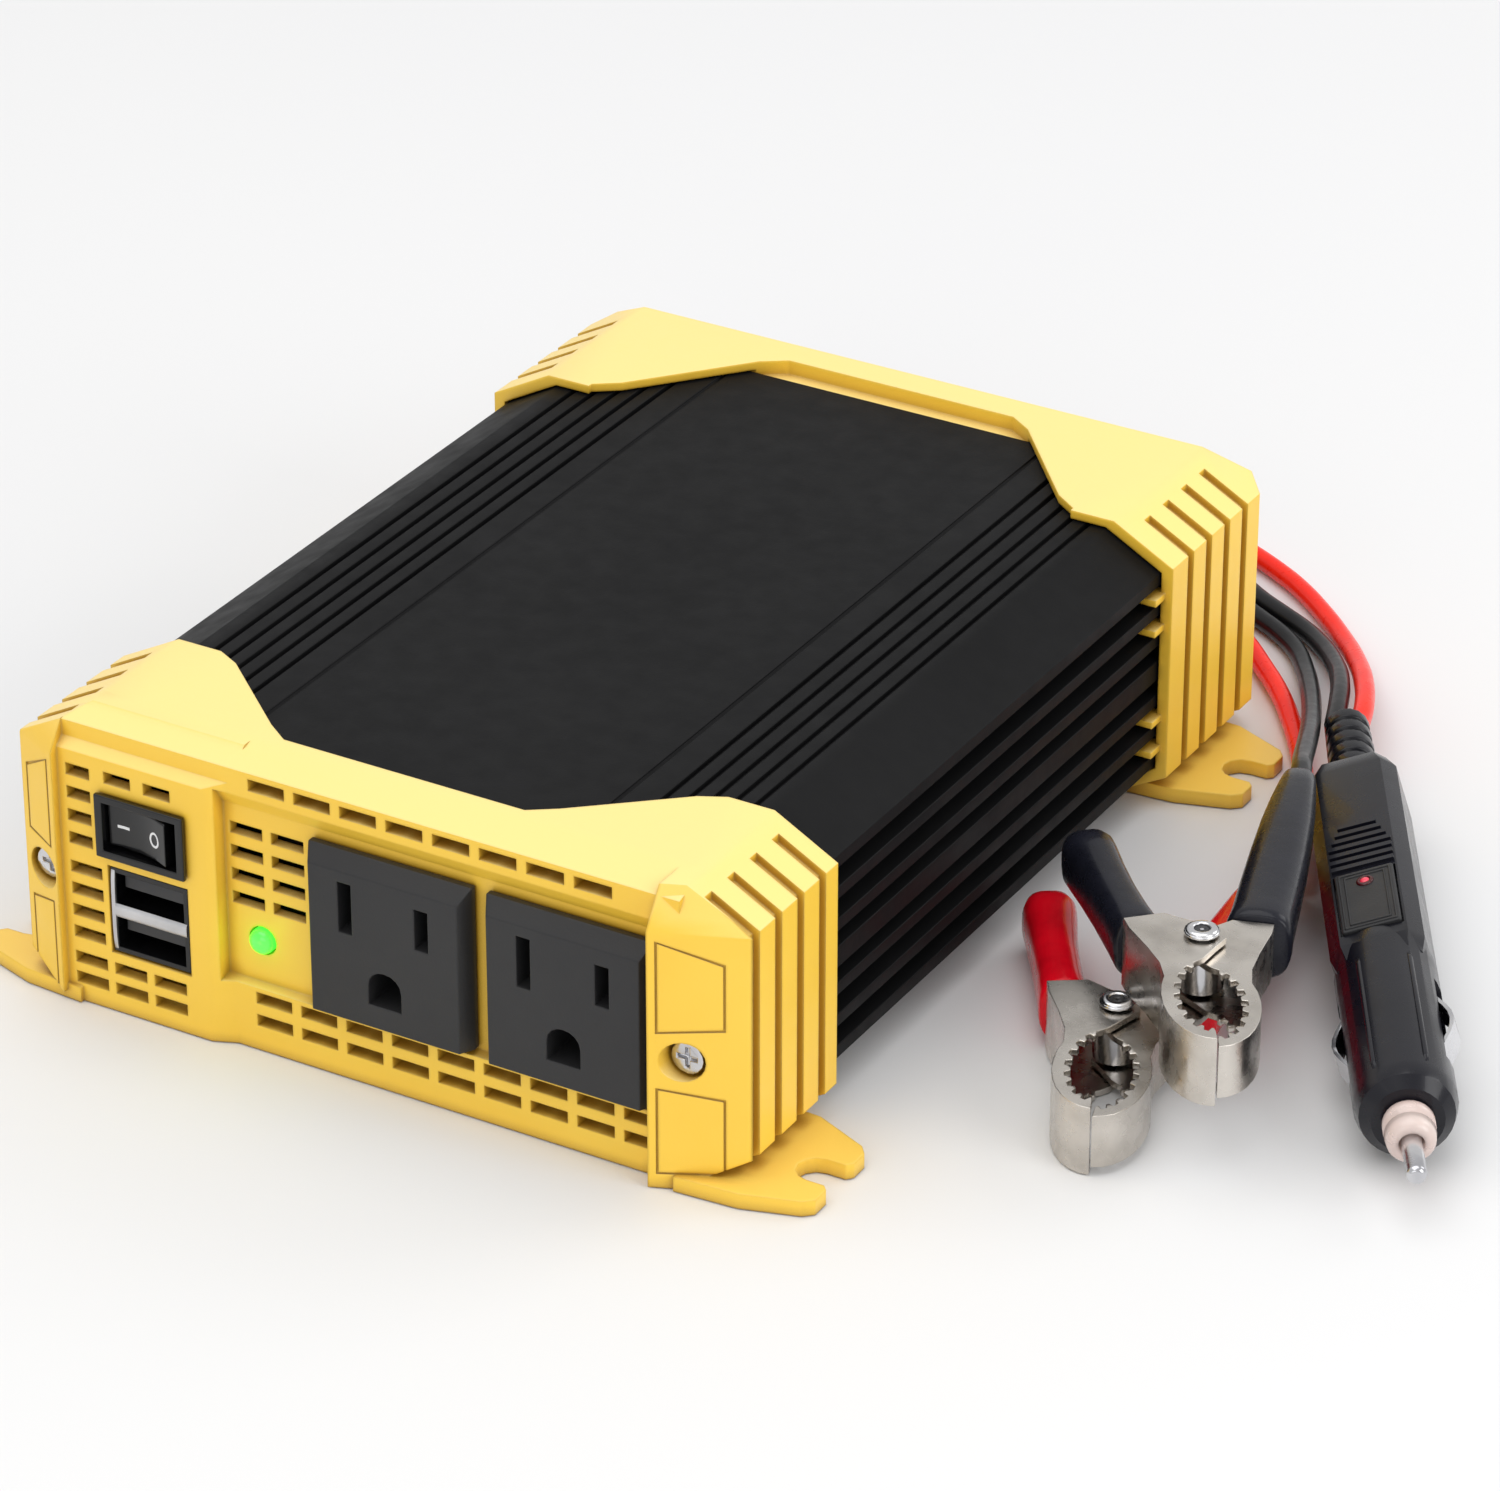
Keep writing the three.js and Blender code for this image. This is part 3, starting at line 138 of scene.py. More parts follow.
class Material:
    """A principled node material, whose methods add noise, relief and shading. Sizes are in metres."""

    def __init__(self, name, colour, roughness, metallic=0.0, **sockets):
        self.data = bpy.data.materials.new(name)
        self.data.use_nodes = True
        self.tree = self.data.node_tree
        self.shader = self.tree.nodes["Principled BSDF"]
        self.set("Base Color", (*colour, 1))
        self.set("Roughness", roughness)
        self.set("Metallic", metallic)
        for socket, value in sockets.items():
            self.set(socket.replace("_", " "), value)
        self.place = self.node("TexCoord").outputs["Object"]
        self.colour = None
        self.normal = None

    def set(self, socket, value):
        self.shader.inputs[socket].default_value = value

    def node(self, kind, **settings):
        made = self.tree.nodes.new("ShaderNode" + kind)
        for key, value in settings.items():
            setattr(made, key, value)
        return made

    def link(self, source, target):
        self.tree.links.new(source, target)

    def noise(self, size, detail=3, stretch=(1, 1, 1)):
        """Noise with features about size across, as a value from 0 to 1; stretch scales each axis."""
        mapping = self.node("Mapping")
        mapping.inputs["Scale"].default_value = stretch
        self.link(self.place, mapping.inputs["Vector"])
        made = self.node("TexNoise")
        made.inputs["Scale"].default_value = 1 / size
        made.inputs["Detail"].default_value = detail
        self.link(mapping.outputs["Vector"], made.inputs["Vector"])
        return made.outputs["Fac"]

    def mapped(self, value, low, high, to_low=0, to_high=1):
        made = self.node("MapRange")
        made.inputs["From Min"].default_value = low
        made.inputs["From Max"].default_value = high
        made.inputs["To Min"].default_value = to_low
        made.inputs["To Max"].default_value = to_high
        self.link(value, made.inputs["Value"])
        return made.outputs["Result"]

    def upward_part(self, vector):
        made = self.node("SeparateXYZ")
        self.link(vector, made.inputs["Vector"])
        return made.outputs["Z"]

    def mixed(self, factor, low, high):
        """A colour from low to high, each of them a colour or another node's output."""
        made = self.node("Mix", data_type="RGBA")
        self.link(factor, made.inputs["Factor"])
        for socket, colour in (("A", low), ("B", high)):
            if isinstance(colour, tuple):
                made.inputs[socket].default_value = (*colour, 1)
            else:
                self.link(colour, made.inputs[socket])
        return made.outputs["Result"]

    def paint(self, colour):
        self.colour = colour
        self.link(colour, self.shader.inputs["Base Color"])

    def vary_colour(self, value, low_colour, high_colour, low=0.3, high=0.7):
        self.paint(self.mixed(self.mapped(value, low, high), low_colour, high_colour))

    def painted_top_light(self, painted_light_colour, fade_from, fade_to):
        """Paints light on faces that look up, making them paler as a painted highlight, less so from the
        height fade_to down to fade_from.
        """
        facing = self.upward_part(self.node("NewGeometry").outputs["Normal"])
        height = self.upward_part(self.place)
        share = self.node("Math", operation="MULTIPLY")
        self.link(self.mapped(facing, 0.3, 1), share.inputs[0])
        self.link(self.mapped(height, fade_from, fade_to, 0.25, 1), share.inputs[1])
        self.paint(self.mixed(share.outputs["Value"], self.colour, painted_light_colour))

    def painted_slot_shade(self, deep_colour, reach):
        """Paints shade inside slots up to reach wide, darkening the colour towards deep_colour."""
        shade = self.node("AmbientOcclusion", samples=8)
        shade.inputs["Distance"].default_value = reach
        self.paint(self.mixed(self.mapped(shade.outputs["AO"], 0.35, 0.85), deep_colour, self.colour))

    def vary_roughness(self, value, low_value, high_value, low=0.3, high=0.7):
        self.link(self.mapped(value, low, high, low_value, high_value), self.shader.inputs["Roughness"])

    def soften_edges(self, radius):
        """Shades edges as if rounded to the radius; relief that is added later lies on top."""
        made = self.node("Bevel", samples=8)
        made.inputs["Radius"].default_value = radius
        self.normal = made.outputs["Normal"]

    def bump(self, value, height):
        """Adds relief of the given height on top of any earlier relief."""
        made = self.node("Bump")
        made.inputs["Distance"].default_value = height
        self.link(value, made.inputs["Height"])
        if self.normal is not None:
            self.link(self.normal, made.inputs["Normal"])
        self.normal = made.outputs["Normal"]
        self.link(self.normal, self.shader.inputs["Normal"])


# ---- materials ----

def moulded(name, colour, deep_colour, roughness, grain=0.0004, relief=0.00002, edge=0.0, **sockets):
    """Moulded plastic: slow drift of colour, a spark-eroded grain and slightly uneven gloss."""
    made = Material(name, colour, roughness, **sockets)
    if edge:
        made.soften_edges(edge)
    drift = 0.03
    gloss_patch = 0.004
    sink_mark = 0.02
    made.vary_colour(made.noise(drift), deep_colour, colour, 0.3, 0.65)
    made.vary_roughness(made.noise(gloss_patch, 4), roughness - 0.05, roughness + 0.06)
    made.bump(made.noise(sink_mark, 2), relief * 2)
    made.bump(made.noise(grain, 2), relief)
    return made


def metal(name, colour, deep_colour, roughness, brushed=(1, 1, 1)):
    """Bare or plated metal with fine brushing along the axis that is stretched least."""
    made = Material(name, colour, roughness, metallic=1.0)
    stain = 0.008
    smear = 0.003
    scratch = 0.0008
    made.vary_colour(made.noise(stain, 4), deep_colour, colour, 0.3, 0.6)
    made.vary_roughness(made.noise(smear, 4), roughness - 0.06, roughness + 0.1)
    made.bump(made.noise(scratch, stretch=brushed), 0.00001)
    return made


def vinyl(name, colour, deep_colour, roughness):
    """Soft vinyl: a slightly wavy and grainy skin under a thin gloss."""
    made = Material(name, colour, roughness, Specular_IOR_Level=0.2, Coat_Weight=0.18, Coat_Roughness=0.08)
    wave = 0.006
    gloss_patch = 0.0015
    grain = 0.0012
    made.vary_colour(made.noise(wave, 4), deep_colour, colour, 0.25, 0.6)
    made.vary_roughness(made.noise(gloss_patch, 4), roughness - 0.05, roughness + 0.07)
    made.bump(made.noise(wave, 2), 0.00006)
    made.bump(made.noise(grain), 0.00002)
    return made


def glowing(name, colour, deep_colour, strength):
    """A clear coloured lens, lit from inside."""
    made = Material(name, colour, 0.2, Coat_Weight=0.6, Coat_Roughness=0.08)
    made.set("Emission Color", (*colour, 1))
    made.set("Emission Strength", strength)
    cloud = 0.0015
    grain = 0.0008
    made.vary_colour(made.noise(cloud, 2), deep_colour, colour)
    made.vary_roughness(made.noise(grain, 2), 0.14, 0.26)
    return made


cap_yellow = moulded("cap_yellow", rgb(250, 206, 70), rgb(246, 199, 60), 0.42, edge=0.0006,
                     Coat_Weight=0.15, Coat_Roughness=0.25)
# Painted light: the cap's upward faces are painted paler, as if lit from above.
cap_yellow.painted_top_light(rgb(250, 222, 138), fade_from=0.002, fade_to=0.02)
# Painted shade: the cap's vents and grooves are painted a darker golden brown.
cap_yellow.painted_slot_shade(rgb(176, 132, 38), reach=0.003)
case_black = moulded("case_black", rgb(20, 20, 21), rgb(16, 16, 17), 0.5, grain=0.0003,
                     relief=0.000012, Specular_IOR_Level=0.1)
outlet_black = moulded("outlet_black", rgb(42, 42, 43), rgb(36, 36, 38), 0.42, edge=0.0004,
                       Specular_IOR_Level=0.4)
gloss_black = moulded("gloss_black", rgb(16, 16, 17), rgb(10, 10, 12), 0.2, relief=0.000006,
                      Specular_IOR_Level=0.35, Coat_Weight=0.3, Coat_Roughness=0.08)
satin_black = moulded("satin_black", rgb(19, 19, 28), rgb(12, 12, 19), 0.28, relief=0.000004,
                      Specular_IOR_Level=0.25, Coat_Weight=0.2, Coat_Roughness=0.06)
tongue_grey = moulded("tongue_grey", rgb(52, 52, 54), rgb(38, 38, 40), 0.35)
knob_red_plastic = moulded("knob_red_plastic", rgb(200, 24, 22), rgb(170, 14, 14), 0.3,
                           Coat_Weight=0.3, Coat_Roughness=0.15)
nickel = metal("nickel_plate", rgb(214, 208, 200), rgb(186, 180, 172), 0.26)
bright_steel = metal("bright_steel", rgb(222, 222, 224), rgb(190, 190, 194), 0.2)
usb_steel = metal("usb_steel", rgb(212, 212, 214), rgb(186, 186, 189), 0.36, brushed=(1, 6, 1))
stud_brass = metal("stud_brass", rgb(214, 178, 96), rgb(188, 150, 74), 0.28)
sink_aluminium = metal("sink_aluminium", rgb(196, 198, 202), rgb(170, 172, 176), 0.4,
                       brushed=(6, 1, 6))
board_green = moulded("board_green", rgb(30, 104, 56), rgb(20, 80, 42), 0.35, grain=0.001)
core_grey = moulded("core_grey", rgb(70, 70, 74), rgb(52, 52, 56), 0.6, grain=0.0006)
fuse_red = moulded("fuse_red", rgb(200, 40, 34), rgb(170, 26, 24), 0.25)
capacitor_sleeve = moulded("capacitor_sleeve", rgb(28, 30, 46), rgb(20, 22, 34), 0.3)
nose_plastic = moulded("nose_plastic", rgb(246, 230, 222), rgb(238, 206, 198), 0.25,
                       Transmission_Weight=0.3, Coat_Weight=0.3)
mark_white = moulded("mark_white", rgb(238, 238, 238), rgb(225, 225, 226), 0.45)
led_green = glowing("led_green", rgb(70, 255, 60), rgb(40, 225, 50), 1.6)
lens_red = glowing("lens_red", rgb(226, 58, 84), rgb(186, 26, 48), 0.35)
lens_rim = moulded("lens_rim", rgb(70, 12, 18), rgb(50, 8, 12), 0.25)
lead_vinyl = {
    "red": vinyl("vinyl_red", rgb(255, 42, 14), rgb(238, 26, 12), 0.3),
    "black": vinyl("vinyl_black", rgb(20, 20, 22), rgb(13, 13, 15), 0.34),
}
cover_vinyl = {
    "red": vinyl("dip_red", rgb(226, 12, 32), rgb(196, 8, 26), 0.2),
    "black": vinyl("dip_black", rgb(24, 25, 34), rgb(16, 17, 24), 0.28),
}


# ---- CAD nodes that keep their shape ----

def round_edges(obj, width):
    """Rounds an object's edges to a width in millimetres and evens out its shading."""
    edges = obj.modifiers.new("edges", "BEVEL")
    edges.width = width * MM
    edges.segments = 2
    edges.limit_method = "ANGLE"
    edges.angle_limit = math.radians(32)
    even = obj.modifiers.new("even", "WEIGHTED_NORMAL")
    even.weight = 80


def dress(material, bevel, *names):
    """Gives CAD nodes a material, smooth shading and edges rounded to a width in millimetres."""
    for name in names:
        obj = nodes[name]
        obj.data.materials.clear()
        obj.data.materials.append(material.data)
        for polygon in obj.data.polygons:
            polygon.use_smooth = True
        weld = obj.modifiers.new("weld", "WELD")
        weld.merge_threshold = 0.002 * MM
        round_edges(obj, bevel)


dress(cap_yellow, 0.3, "front_end_cap", "rear_end_cap")
dress(case_black, 0.15, "case_extrusion")
dress(outlet_black, 0.25, "outlet_left", "outlet_right")
dress(gloss_black, 0.2, "switch_bezel", "fan_frame", "fan_rotor", "knob_black")
dress(gloss_black, 0.4, "switch_rocker")
dress(knob_red_plastic, 0.25, "knob_red")
dress(gloss_black, 0.1, "usb_shell")
dress(tongue_grey, 0.2, "usb_tongue_lower", "usb_tongue_upper")
dress(led_green, 0.1, "status_led")
dress(bright_steel, 0.2, "screw_front_left", "screw_front_right", "screw_rear_left", "screw_rear_right")
dress(board_green, 0.1, "circuit_board")
dress(core_grey, 0.3, "transformer")
dress(capacitor_sleeve, 0.4, "capacitor_front", "capacitor_rear")
dress(sink_aluminium, 0.15, "heat_sink_bar")
dress(fuse_red, 0.3, "input_fuse")
dress(stud_brass, 0.15, "stud_red", "stud_black")
dress(bright_steel, 0.15, "ring_terminal_red", "ring_terminal_black")
dress(satin_black, 0.25, "plug_body", "plug_strain_relief")
dress(outlet_black, 0.3, "plug_panel")
dress(bright_steel, 0.2, "plug_tip_pin")
dress(bright_steel, 0.1, "plug_contact_left", "plug_contact_right")
for colour in ("red", "black"):
    for part in ("fixed_jaw", "moving_jaw"):
        dress(nickel, 0.18, f"{colour}_clamp_{part}")
    dress(bright_steel, 0.25, f"{colour}_clamp_pin")
    dress(bright_steel, 0.1, f"{colour}_clamp_spring")


# ---- mesh helpers for the added pieces ----

def add_mesh(name, vertices, faces, material, body, place=Matrix(), replaced=()):
    """A mesh in millimetres, placed by a matrix in millimetres, riding on a body."""
    mesh = bpy.data.meshes.new(name)
    mesh.from_pydata([(place @ Vector(v)) * MM for v in vertices], [], faces)
    mesh.materials.append(material.data)
    work = bmesh.new()
    work.from_mesh(mesh)
    bmesh.ops.recalc_face_normals(work, faces=work.faces)
    work.to_mesh(mesh)
    work.free()
    for polygon in mesh.polygons:
        polygon.use_smooth = True
    obj = bpy.data.objects.new(name, mesh)
    scene.collection.objects.link(obj)
    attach(obj, body)
    if replaced:
        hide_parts(*replaced)
    return obj


def rings_to_faces(count, around, closed=False):
    """Quads between successive rings of points. closed joins the last ring to the first; otherwise
    the first and last rings are capped."""
    faces = []
    for ring in range(count if closed else count - 1):
        for k in range(around):
            after = (k + 1) % around
            a = ring * around
            b = (ring + 1) % count * around
            faces.append((a + k, a + after, b + after, b + k))
    if closed:
        return faces
    last = (count - 1) * around
    faces.append(tuple(range(around))[::-1])
    faces.append(tuple(last + k for k in range(around)))
    return faces


def lathe(name, profile, material, place, replaced=()):
    """A turned piece about local Z, from (radius, height) pairs. A profile that ends where it starts
    makes a ring."""
    around = 28
    closed = profile[0] == profile[-1]
    if closed:
        profile = profile[:-1]
    vertices = []
    for radius, height in profile:
        for k in range(around):
            angle = FULL_TURN * k / around
            vertices.append((radius * math.cos(angle), radius * math.sin(angle), height))
    faces = rings_to_faces(len(profile), around, closed)
    add_mesh(name, vertices, faces, material, "root", place, replaced)


# ---- rocker marks ----

# The rocker turns about its joint, and rests with its left end pressed.
ROCKER_PLACE = Matrix.Translation(joint_point("rocker_tilt")) @ Matrix.Rotation(math.radians(-8), 4, "Z")

# The rocker's face: its depth at the middle, then how much it stands out at the knees and the ends.
DISH_DEPTH = 4.1
KNEE_X = 3
KNEE_RISE = 0.25
END_X = 5.4
END_RISE = 0.55


def rocker_face(x):
    """The face's place in Y at a distance x from the rocker's pivot."""
    to_knee = min(abs(x), KNEE_X) / KNEE_X
    past_knee = max(abs(x) - KNEE_X, 0) / (END_X - KNEE_X)
    return -DISH_DEPTH - KNEE_RISE * to_knee - END_RISE * past_knee


def rocker_mark(name, outline, inner=None):
    """A thin printed shape that follows the rocker's face; inner is the inside outline of a band."""
    sunk = -0.1
    proud = 0.05
    points = outline + (inner or [])
    vertices = [(x, rocker_face(x) - lift, z) for lift in (sunk, proud) for x, z in points]
    n = len(outline)
    total = len(points)
    faces = []
    for k in range(n):
        after = (k + 1) % n
        faces.append((k, after, total + after, total + k))
        if inner:
            faces.append((n + k, n + after, total + n + after, total + n + k))
            for base in (0, total):
                faces.append((base + k, base + after, base + n + after, base + n + k))
    if not inner:
        faces.append(tuple(range(n)))
        faces.append(tuple(total + k for k in range(n)))
    mark = add_mesh(name, vertices, faces, mark_white, "rocker", ROCKER_PLACE)
    for polygon in mark.data.polygons:
        polygon.use_smooth = False


def bar(xs, low, high):
    return [(x, low) for x in xs] + [(x, high) for x in reversed(xs)]


def ellipse(x, half_x, half_z):
    around = 28
    steps = [FULL_TURN * k / around for k in range(around)]
    return [(x + half_x * math.cos(a), half_z * math.sin(a)) for a in steps]


rocker_mark("rocker_mark_on", bar([-3.9, -2.9, -1.9], -0.2, 0.25))
rocker_mark("rocker_mark_off", ellipse(3, 1.0, 1.25), ellipse(3, 0.68, 0.9))


# ---- USB trim ----

TRIM_EDGE = 0.08
usb_low, usb_high = node_box("usb_shell")


def usb_strip(name, x0, x1, z0, z1):
    """A crowned strip of sheet metal on the face of the USB port, with rounded edges."""
    front = usb_low.y - 0.25
    back = usb_low.y + 0.1
    crown = 0.25
    steps = 8
    vertices = []
    for k in range(steps + 1):
        share = k / steps
        z = z0 + (z1 - z0) * share
        y = front + crown * (2 * share - 1) ** 4
        vertices += [(x0, back, z), (x0, y, z), (x1, y, z), (x1, back, z)]
    strip = add_mesh(name, vertices, rings_to_faces(steps + 1, 4), usb_steel, "root")
    round_edges(strip, TRIM_EDGE)


usb_strip("usb_middle_bar", usb_low.x + 0.3, usb_high.x - 0.3, usb_low.z + 5.8, usb_low.z + 8)
usb_strip("usb_left_lip", usb_low.x + 0.05, usb_low.x + 0.7, usb_low.z + 0.4, usb_high.z - 0.4)


# ---- status lamp's glow ----

def lamp_glow(ahead, power, colour):
    """A small light, ahead millimetres in front of the status lamp."""
    low, high = node_box("status_led")
    middle = (low + high) / 2
    glow = bpy.data.lights.new("lamp_glow", "POINT")
    glow.energy = power
    glow.color = colour
    glow.shadow_soft_size = 0.001
    obj = bpy.data.objects.new("lamp_glow", glow)
    obj.location = Vector((middle.x, low.y - ahead, middle.z)) * MM
    scene.collection.objects.link(obj)


lamp_glow(ahead=3.2, power=0.0002, colour=(0.2, 1.0, 0.05))


# ---- clamp sleeves and boots ----

# A clamp lies flat, its pin upright; local +X points to its nose.
CLAMP_WIDE = 11
CLAMP_TURNS = {"red": -69.9, "black": -58.6}
HANDLE_TURN = math.radians(13)
HANDLE_ROOT = (-2, 7)


def clamp_place(colour):
    base = joint_point(f"{colour}_clamp_open") - Vector((0, 0, CLAMP_WIDE / 2))
    return Matrix.Translation(base) @ Matrix.Rotation(math.radians(CLAMP_TURNS[colour]), 4, "Z")


CLAMPS = {colour: clamp_place(colour) for colour in CLAMP_TURNS}

# Stations along a handle in millimetres: distance, centre across, half width across, half height.
SLEEVE = [(4, 0.35, 3.1, 4.5), (4.2, 0.35, 3.45, 4.85), (5.2, 0.35, 3.6, 4.95), (9, 0.4, 3.45, 4.75),
          (16, 0.4, 3.4, 4.6), (22, 0.3, 3.6, 4.6), (27, 0.2, 3.95, 4.7), (29.4, 0.2, 4.05, 4.7),
          (31.2, 0.2, 3.6, 4.2), (32.3, 0.2, 2.8, 3.3), (32.9, 0.2, 1.6, 2), (33, 0.2, 0.4, 0.6)]
BOOT = [(4, 0.6, 4.4, 4.9), (4.3, 0.6, 4.8, 5.25), (6, 0.6, 4.9, 5.35), (8.5, 0.6, 4.7, 5.2),
        (16, 0.55, 4.6, 5.1), (26, 0.5, 4.4, 4.9), (36, 0.4, 4.0, 4.5), (43, 0.3, 3.5, 4.0),
        (48, 0.25, 3.0, 3.5), (51.4, 0.2, 2.6, 3), (52.7, 0.2, 2.1, 2.4), (53, 0.2, 1.7, 1.8)]


def handle_cover(name, stations, material, body, place, side, replaced):
    """A dipped vinyl cover lofted along a handle; side -1 mirrors it to the moving half."""
    around = 32
    squareness = 2.9
    power = 2 / squareness
    turn_cos = math.cos(HANDLE_TURN)
    turn_sin = math.sin(HANDLE_TURN)
    vertices = []
    for distance, centre, half_across, half_height in stations:
        for k in range(around):
            angle = FULL_TURN * k / around
            c = math.cos(angle)
            s = math.sin(angle)
            across = centre + half_across * math.copysign(abs(c) ** power, c)
            height = CLAMP_WIDE / 2 + half_height * math.copysign(abs(s) ** power, s)
            x = HANDLE_ROOT[0] - distance * turn_cos + across * turn_sin
            y = HANDLE_ROOT[1] + distance * turn_sin + across * turn_cos
            vertices.append((x, side * y, height))
    faces = rings_to_faces(len(stations), around)
    add_mesh(name, vertices, faces, material, body, place, replaced)


for colour, place in CLAMPS.items():
    cover = cover_vinyl[colour]
    handle_cover(f"{colour}_sleeve_dip", SLEEVE, cover, f"{colour}_jaw", place, -1,
                 [f"{colour}_clamp_sleeve"])
    handle_cover(f"{colour}_boot_dip", BOOT, cover, "root", place, 1, [f"{colour}_clamp_boot"])


# ---- clamp rivets ----

# Radius, and height over the pin's end, of a peened rivet's raised rim and of the dark grey disc inside it,
# which is painted shade standing in for the rivet's hollow.
PIN_END = 11.88
RIVET_RIM = [(1.15, 0), (1.15, 0.22), (1.4, 0.37), (2.0, 0.32), (2.4, 0.07), (2.4, 0), (1.15, 0)]
RIVET_SHADE_DISC = [(1.15, 0), (1.15, 0.08), (0.8, 0.05), (0.3, 0.04), (0.3, 0)]

for colour, place in CLAMPS.items():
    pin_top = place @ Matrix.Translation((0, 0, PIN_END))
    lathe(f"{colour}_rivet_rim", RIVET_RIM, bright_steel, pin_top)
    # Painted shade: a dark grey disc fills the rivet's hollow.
    lathe(f"{colour}_rivet_shade_disc", RIVET_SHADE_DISC, tongue_grey, pin_top)


# ---- plug details ----

# The plug's own frame: +X along it to the tip, +Z out of its panel.
PLUG_PLACE = (Matrix.Translation((88.5, 48.7, 8.45)) @ Matrix.Rotation(math.radians(-60), 4, "Z")
              @ Matrix.Rotation(math.radians(17), 4, "X"))
PANEL_TOP = 7.2
PANEL_START = 36.5
PANEL_END = 52.5
PANEL_HALF_WIDTH = 4.4
LAMP_ALONG = 39.8
BODY_END = 94.3

# Radius and height of the panel's lamp, and of the nose ring past the end of the body.
LAMP_RIM = [(0.7, -0.1), (0.7, 0.15), (0.85, 0.3), (1.15, 0.26), (1.3, 0.1), (1.3, -0.1)]
LAMP_LENS = [(0.7, -0.1), (0.7, 0.12), (0.6, 0.25), (0.4, 0.34), (0.15, 0.38), (0.02, 0.38)]
NOSE = [(1.9, 0), (3.6, 0), (3.75, 0.4), (3.75, 2), (3.1, 2.3), (3.1, 2.9), (3.7, 3.2), (3.5, 5),
        (2.9, 5.8), (1.9, 6), (1.9, 0)]

lamp_place = PLUG_PLACE @ Matrix.Translation((LAMP_ALONG, 0, PANEL_TOP))
lathe("plug_lamp_rim", LAMP_RIM, lens_rim, lamp_place)
lathe("plug_lamp_lens", LAMP_LENS, lens_red, lamp_place)
nose_place = (PLUG_PLACE @ Matrix.Translation((BODY_END, 0, 0))
              @ Matrix.Rotation(math.radians(90), 4, "Y"))
lathe("plug_nose", NOSE, nose_plastic, nose_place, replaced=["plug_nose_ring"])


def panel_border(name, inset):
    """A raised band inside the edge of the plug's panel."""
    sunk = -0.1
    proud = 0.16
    band = 0.32
    vertices = []
    for lift in (sunk, proud):
        for edge in (inset, inset + band):
            x0 = PANEL_START + edge
            x1 = PANEL_END - edge
            y = PANEL_HALF_WIDTH - edge
            vertices += [(a, b, PANEL_TOP + lift) for a, b in ((x0, -y), (x1, -y), (x1, y), (x0, y))]
    faces = []
    for k in range(4):
        after = (k + 1) % 4
        for a, b in ((0, 4), (8, 12), (0, 8), (4, 12)):
            faces.append((a + k, a + after, b + after, b + k))
    border = add_mesh(name, vertices, faces, outlet_black, "root", PLUG_PLACE)
    round_edges(border, TRIM_EDGE)


def barrel_ridge(name, angle):
    """A low ridge along the barrel, tapering away at both ends."""
    start = 59.5
    end = 89.5
    taper = 2
    base = 7.3
    low = 7.4
    crest = 7.72
    stations = [(start, 0.05), (start + taper, 1), (end - taper, 1), (end, 0.05)]
    vertices = []
    for x, share in stations:
        rise = low + (crest - low) * share
        section = [(-0.5, base), (-0.3, rise - 0.08), (0, rise), (0.3, rise - 0.08), (0.5, base)]
        vertices += [(x, across, height) for across, height in section]
    faces = rings_to_faces(len(stations), len(section))
    add_mesh(name, vertices, faces, satin_black, "root",
             PLUG_PLACE @ Matrix.Rotation(math.radians(angle), 4, "X"))


panel_border("plug_panel_border_0", inset=0.5)
panel_border("plug_panel_border_1", inset=1.3)
barrel_ridge("plug_ridge_right", -38)
barrel_ridge("plug_ridge_left", 22)


# ---- leads ----

# Four leads, each wound into a coil behind the rear cap; the two black coils lie on the red ones.
LEAD_DIAMETER = 3.2
COIL_CENTRE_Y = 101.5
COIL_X = {"plug": -51, "clamp": -6}
COIL_FLOOR = {"red": 1.7, "black": 9.05}
COIL_OUTER = 19.75
COIL_INNER = 16.25
COIL_TURNS = 3.5
LAYER_RISE = 3.5
LANE_CHANGE = 0.28
POINTS_PER_TURN = 16

# Routes in millimetres, from each ring terminal to the coil and from the coil onwards.
LEAD_IN = {
    "plug_red": [(38.9, 79.2, 15.5), (38.9, 79.2, 12), (38.4, 78.7, 8), (36.6, 78, 4.4), (32, 77.5, 2.2),
                 (25, 77.4, 1.7), (10, 77.4, 1.7), (-10, 77.4, 1.7), (-22, 78, 1.7),
                 (-31, 79.6, 1.7)],
    "plug_black": [(16.9, 79.2, 15.5), (16.9, 79.2, 12.8), (15.8, 78.5, 9.8), (12.4, 77.7, 7), (6, 77.4, 5.8),
                   (-6, 77.4, 5.7), (-18, 77.6, 5.9), (-26, 78.6, 7.2), (-32, 80, 8.5)],
    "clamp_red": [(35.1, 79.2, 15.5), (35.1, 79.3, 12), (33.8, 80.2, 7.6), (30.6, 81.1, 4), (25, 81.5, 2.2),
                  (18, 81.6, 1.7), (12, 81.6, 1.7)],
    "clamp_black": [(13.1, 79.2, 15.5), (12.9, 79.3, 13.4), (12, 79.8, 11.4), (10, 80.6, 9.9)],
}
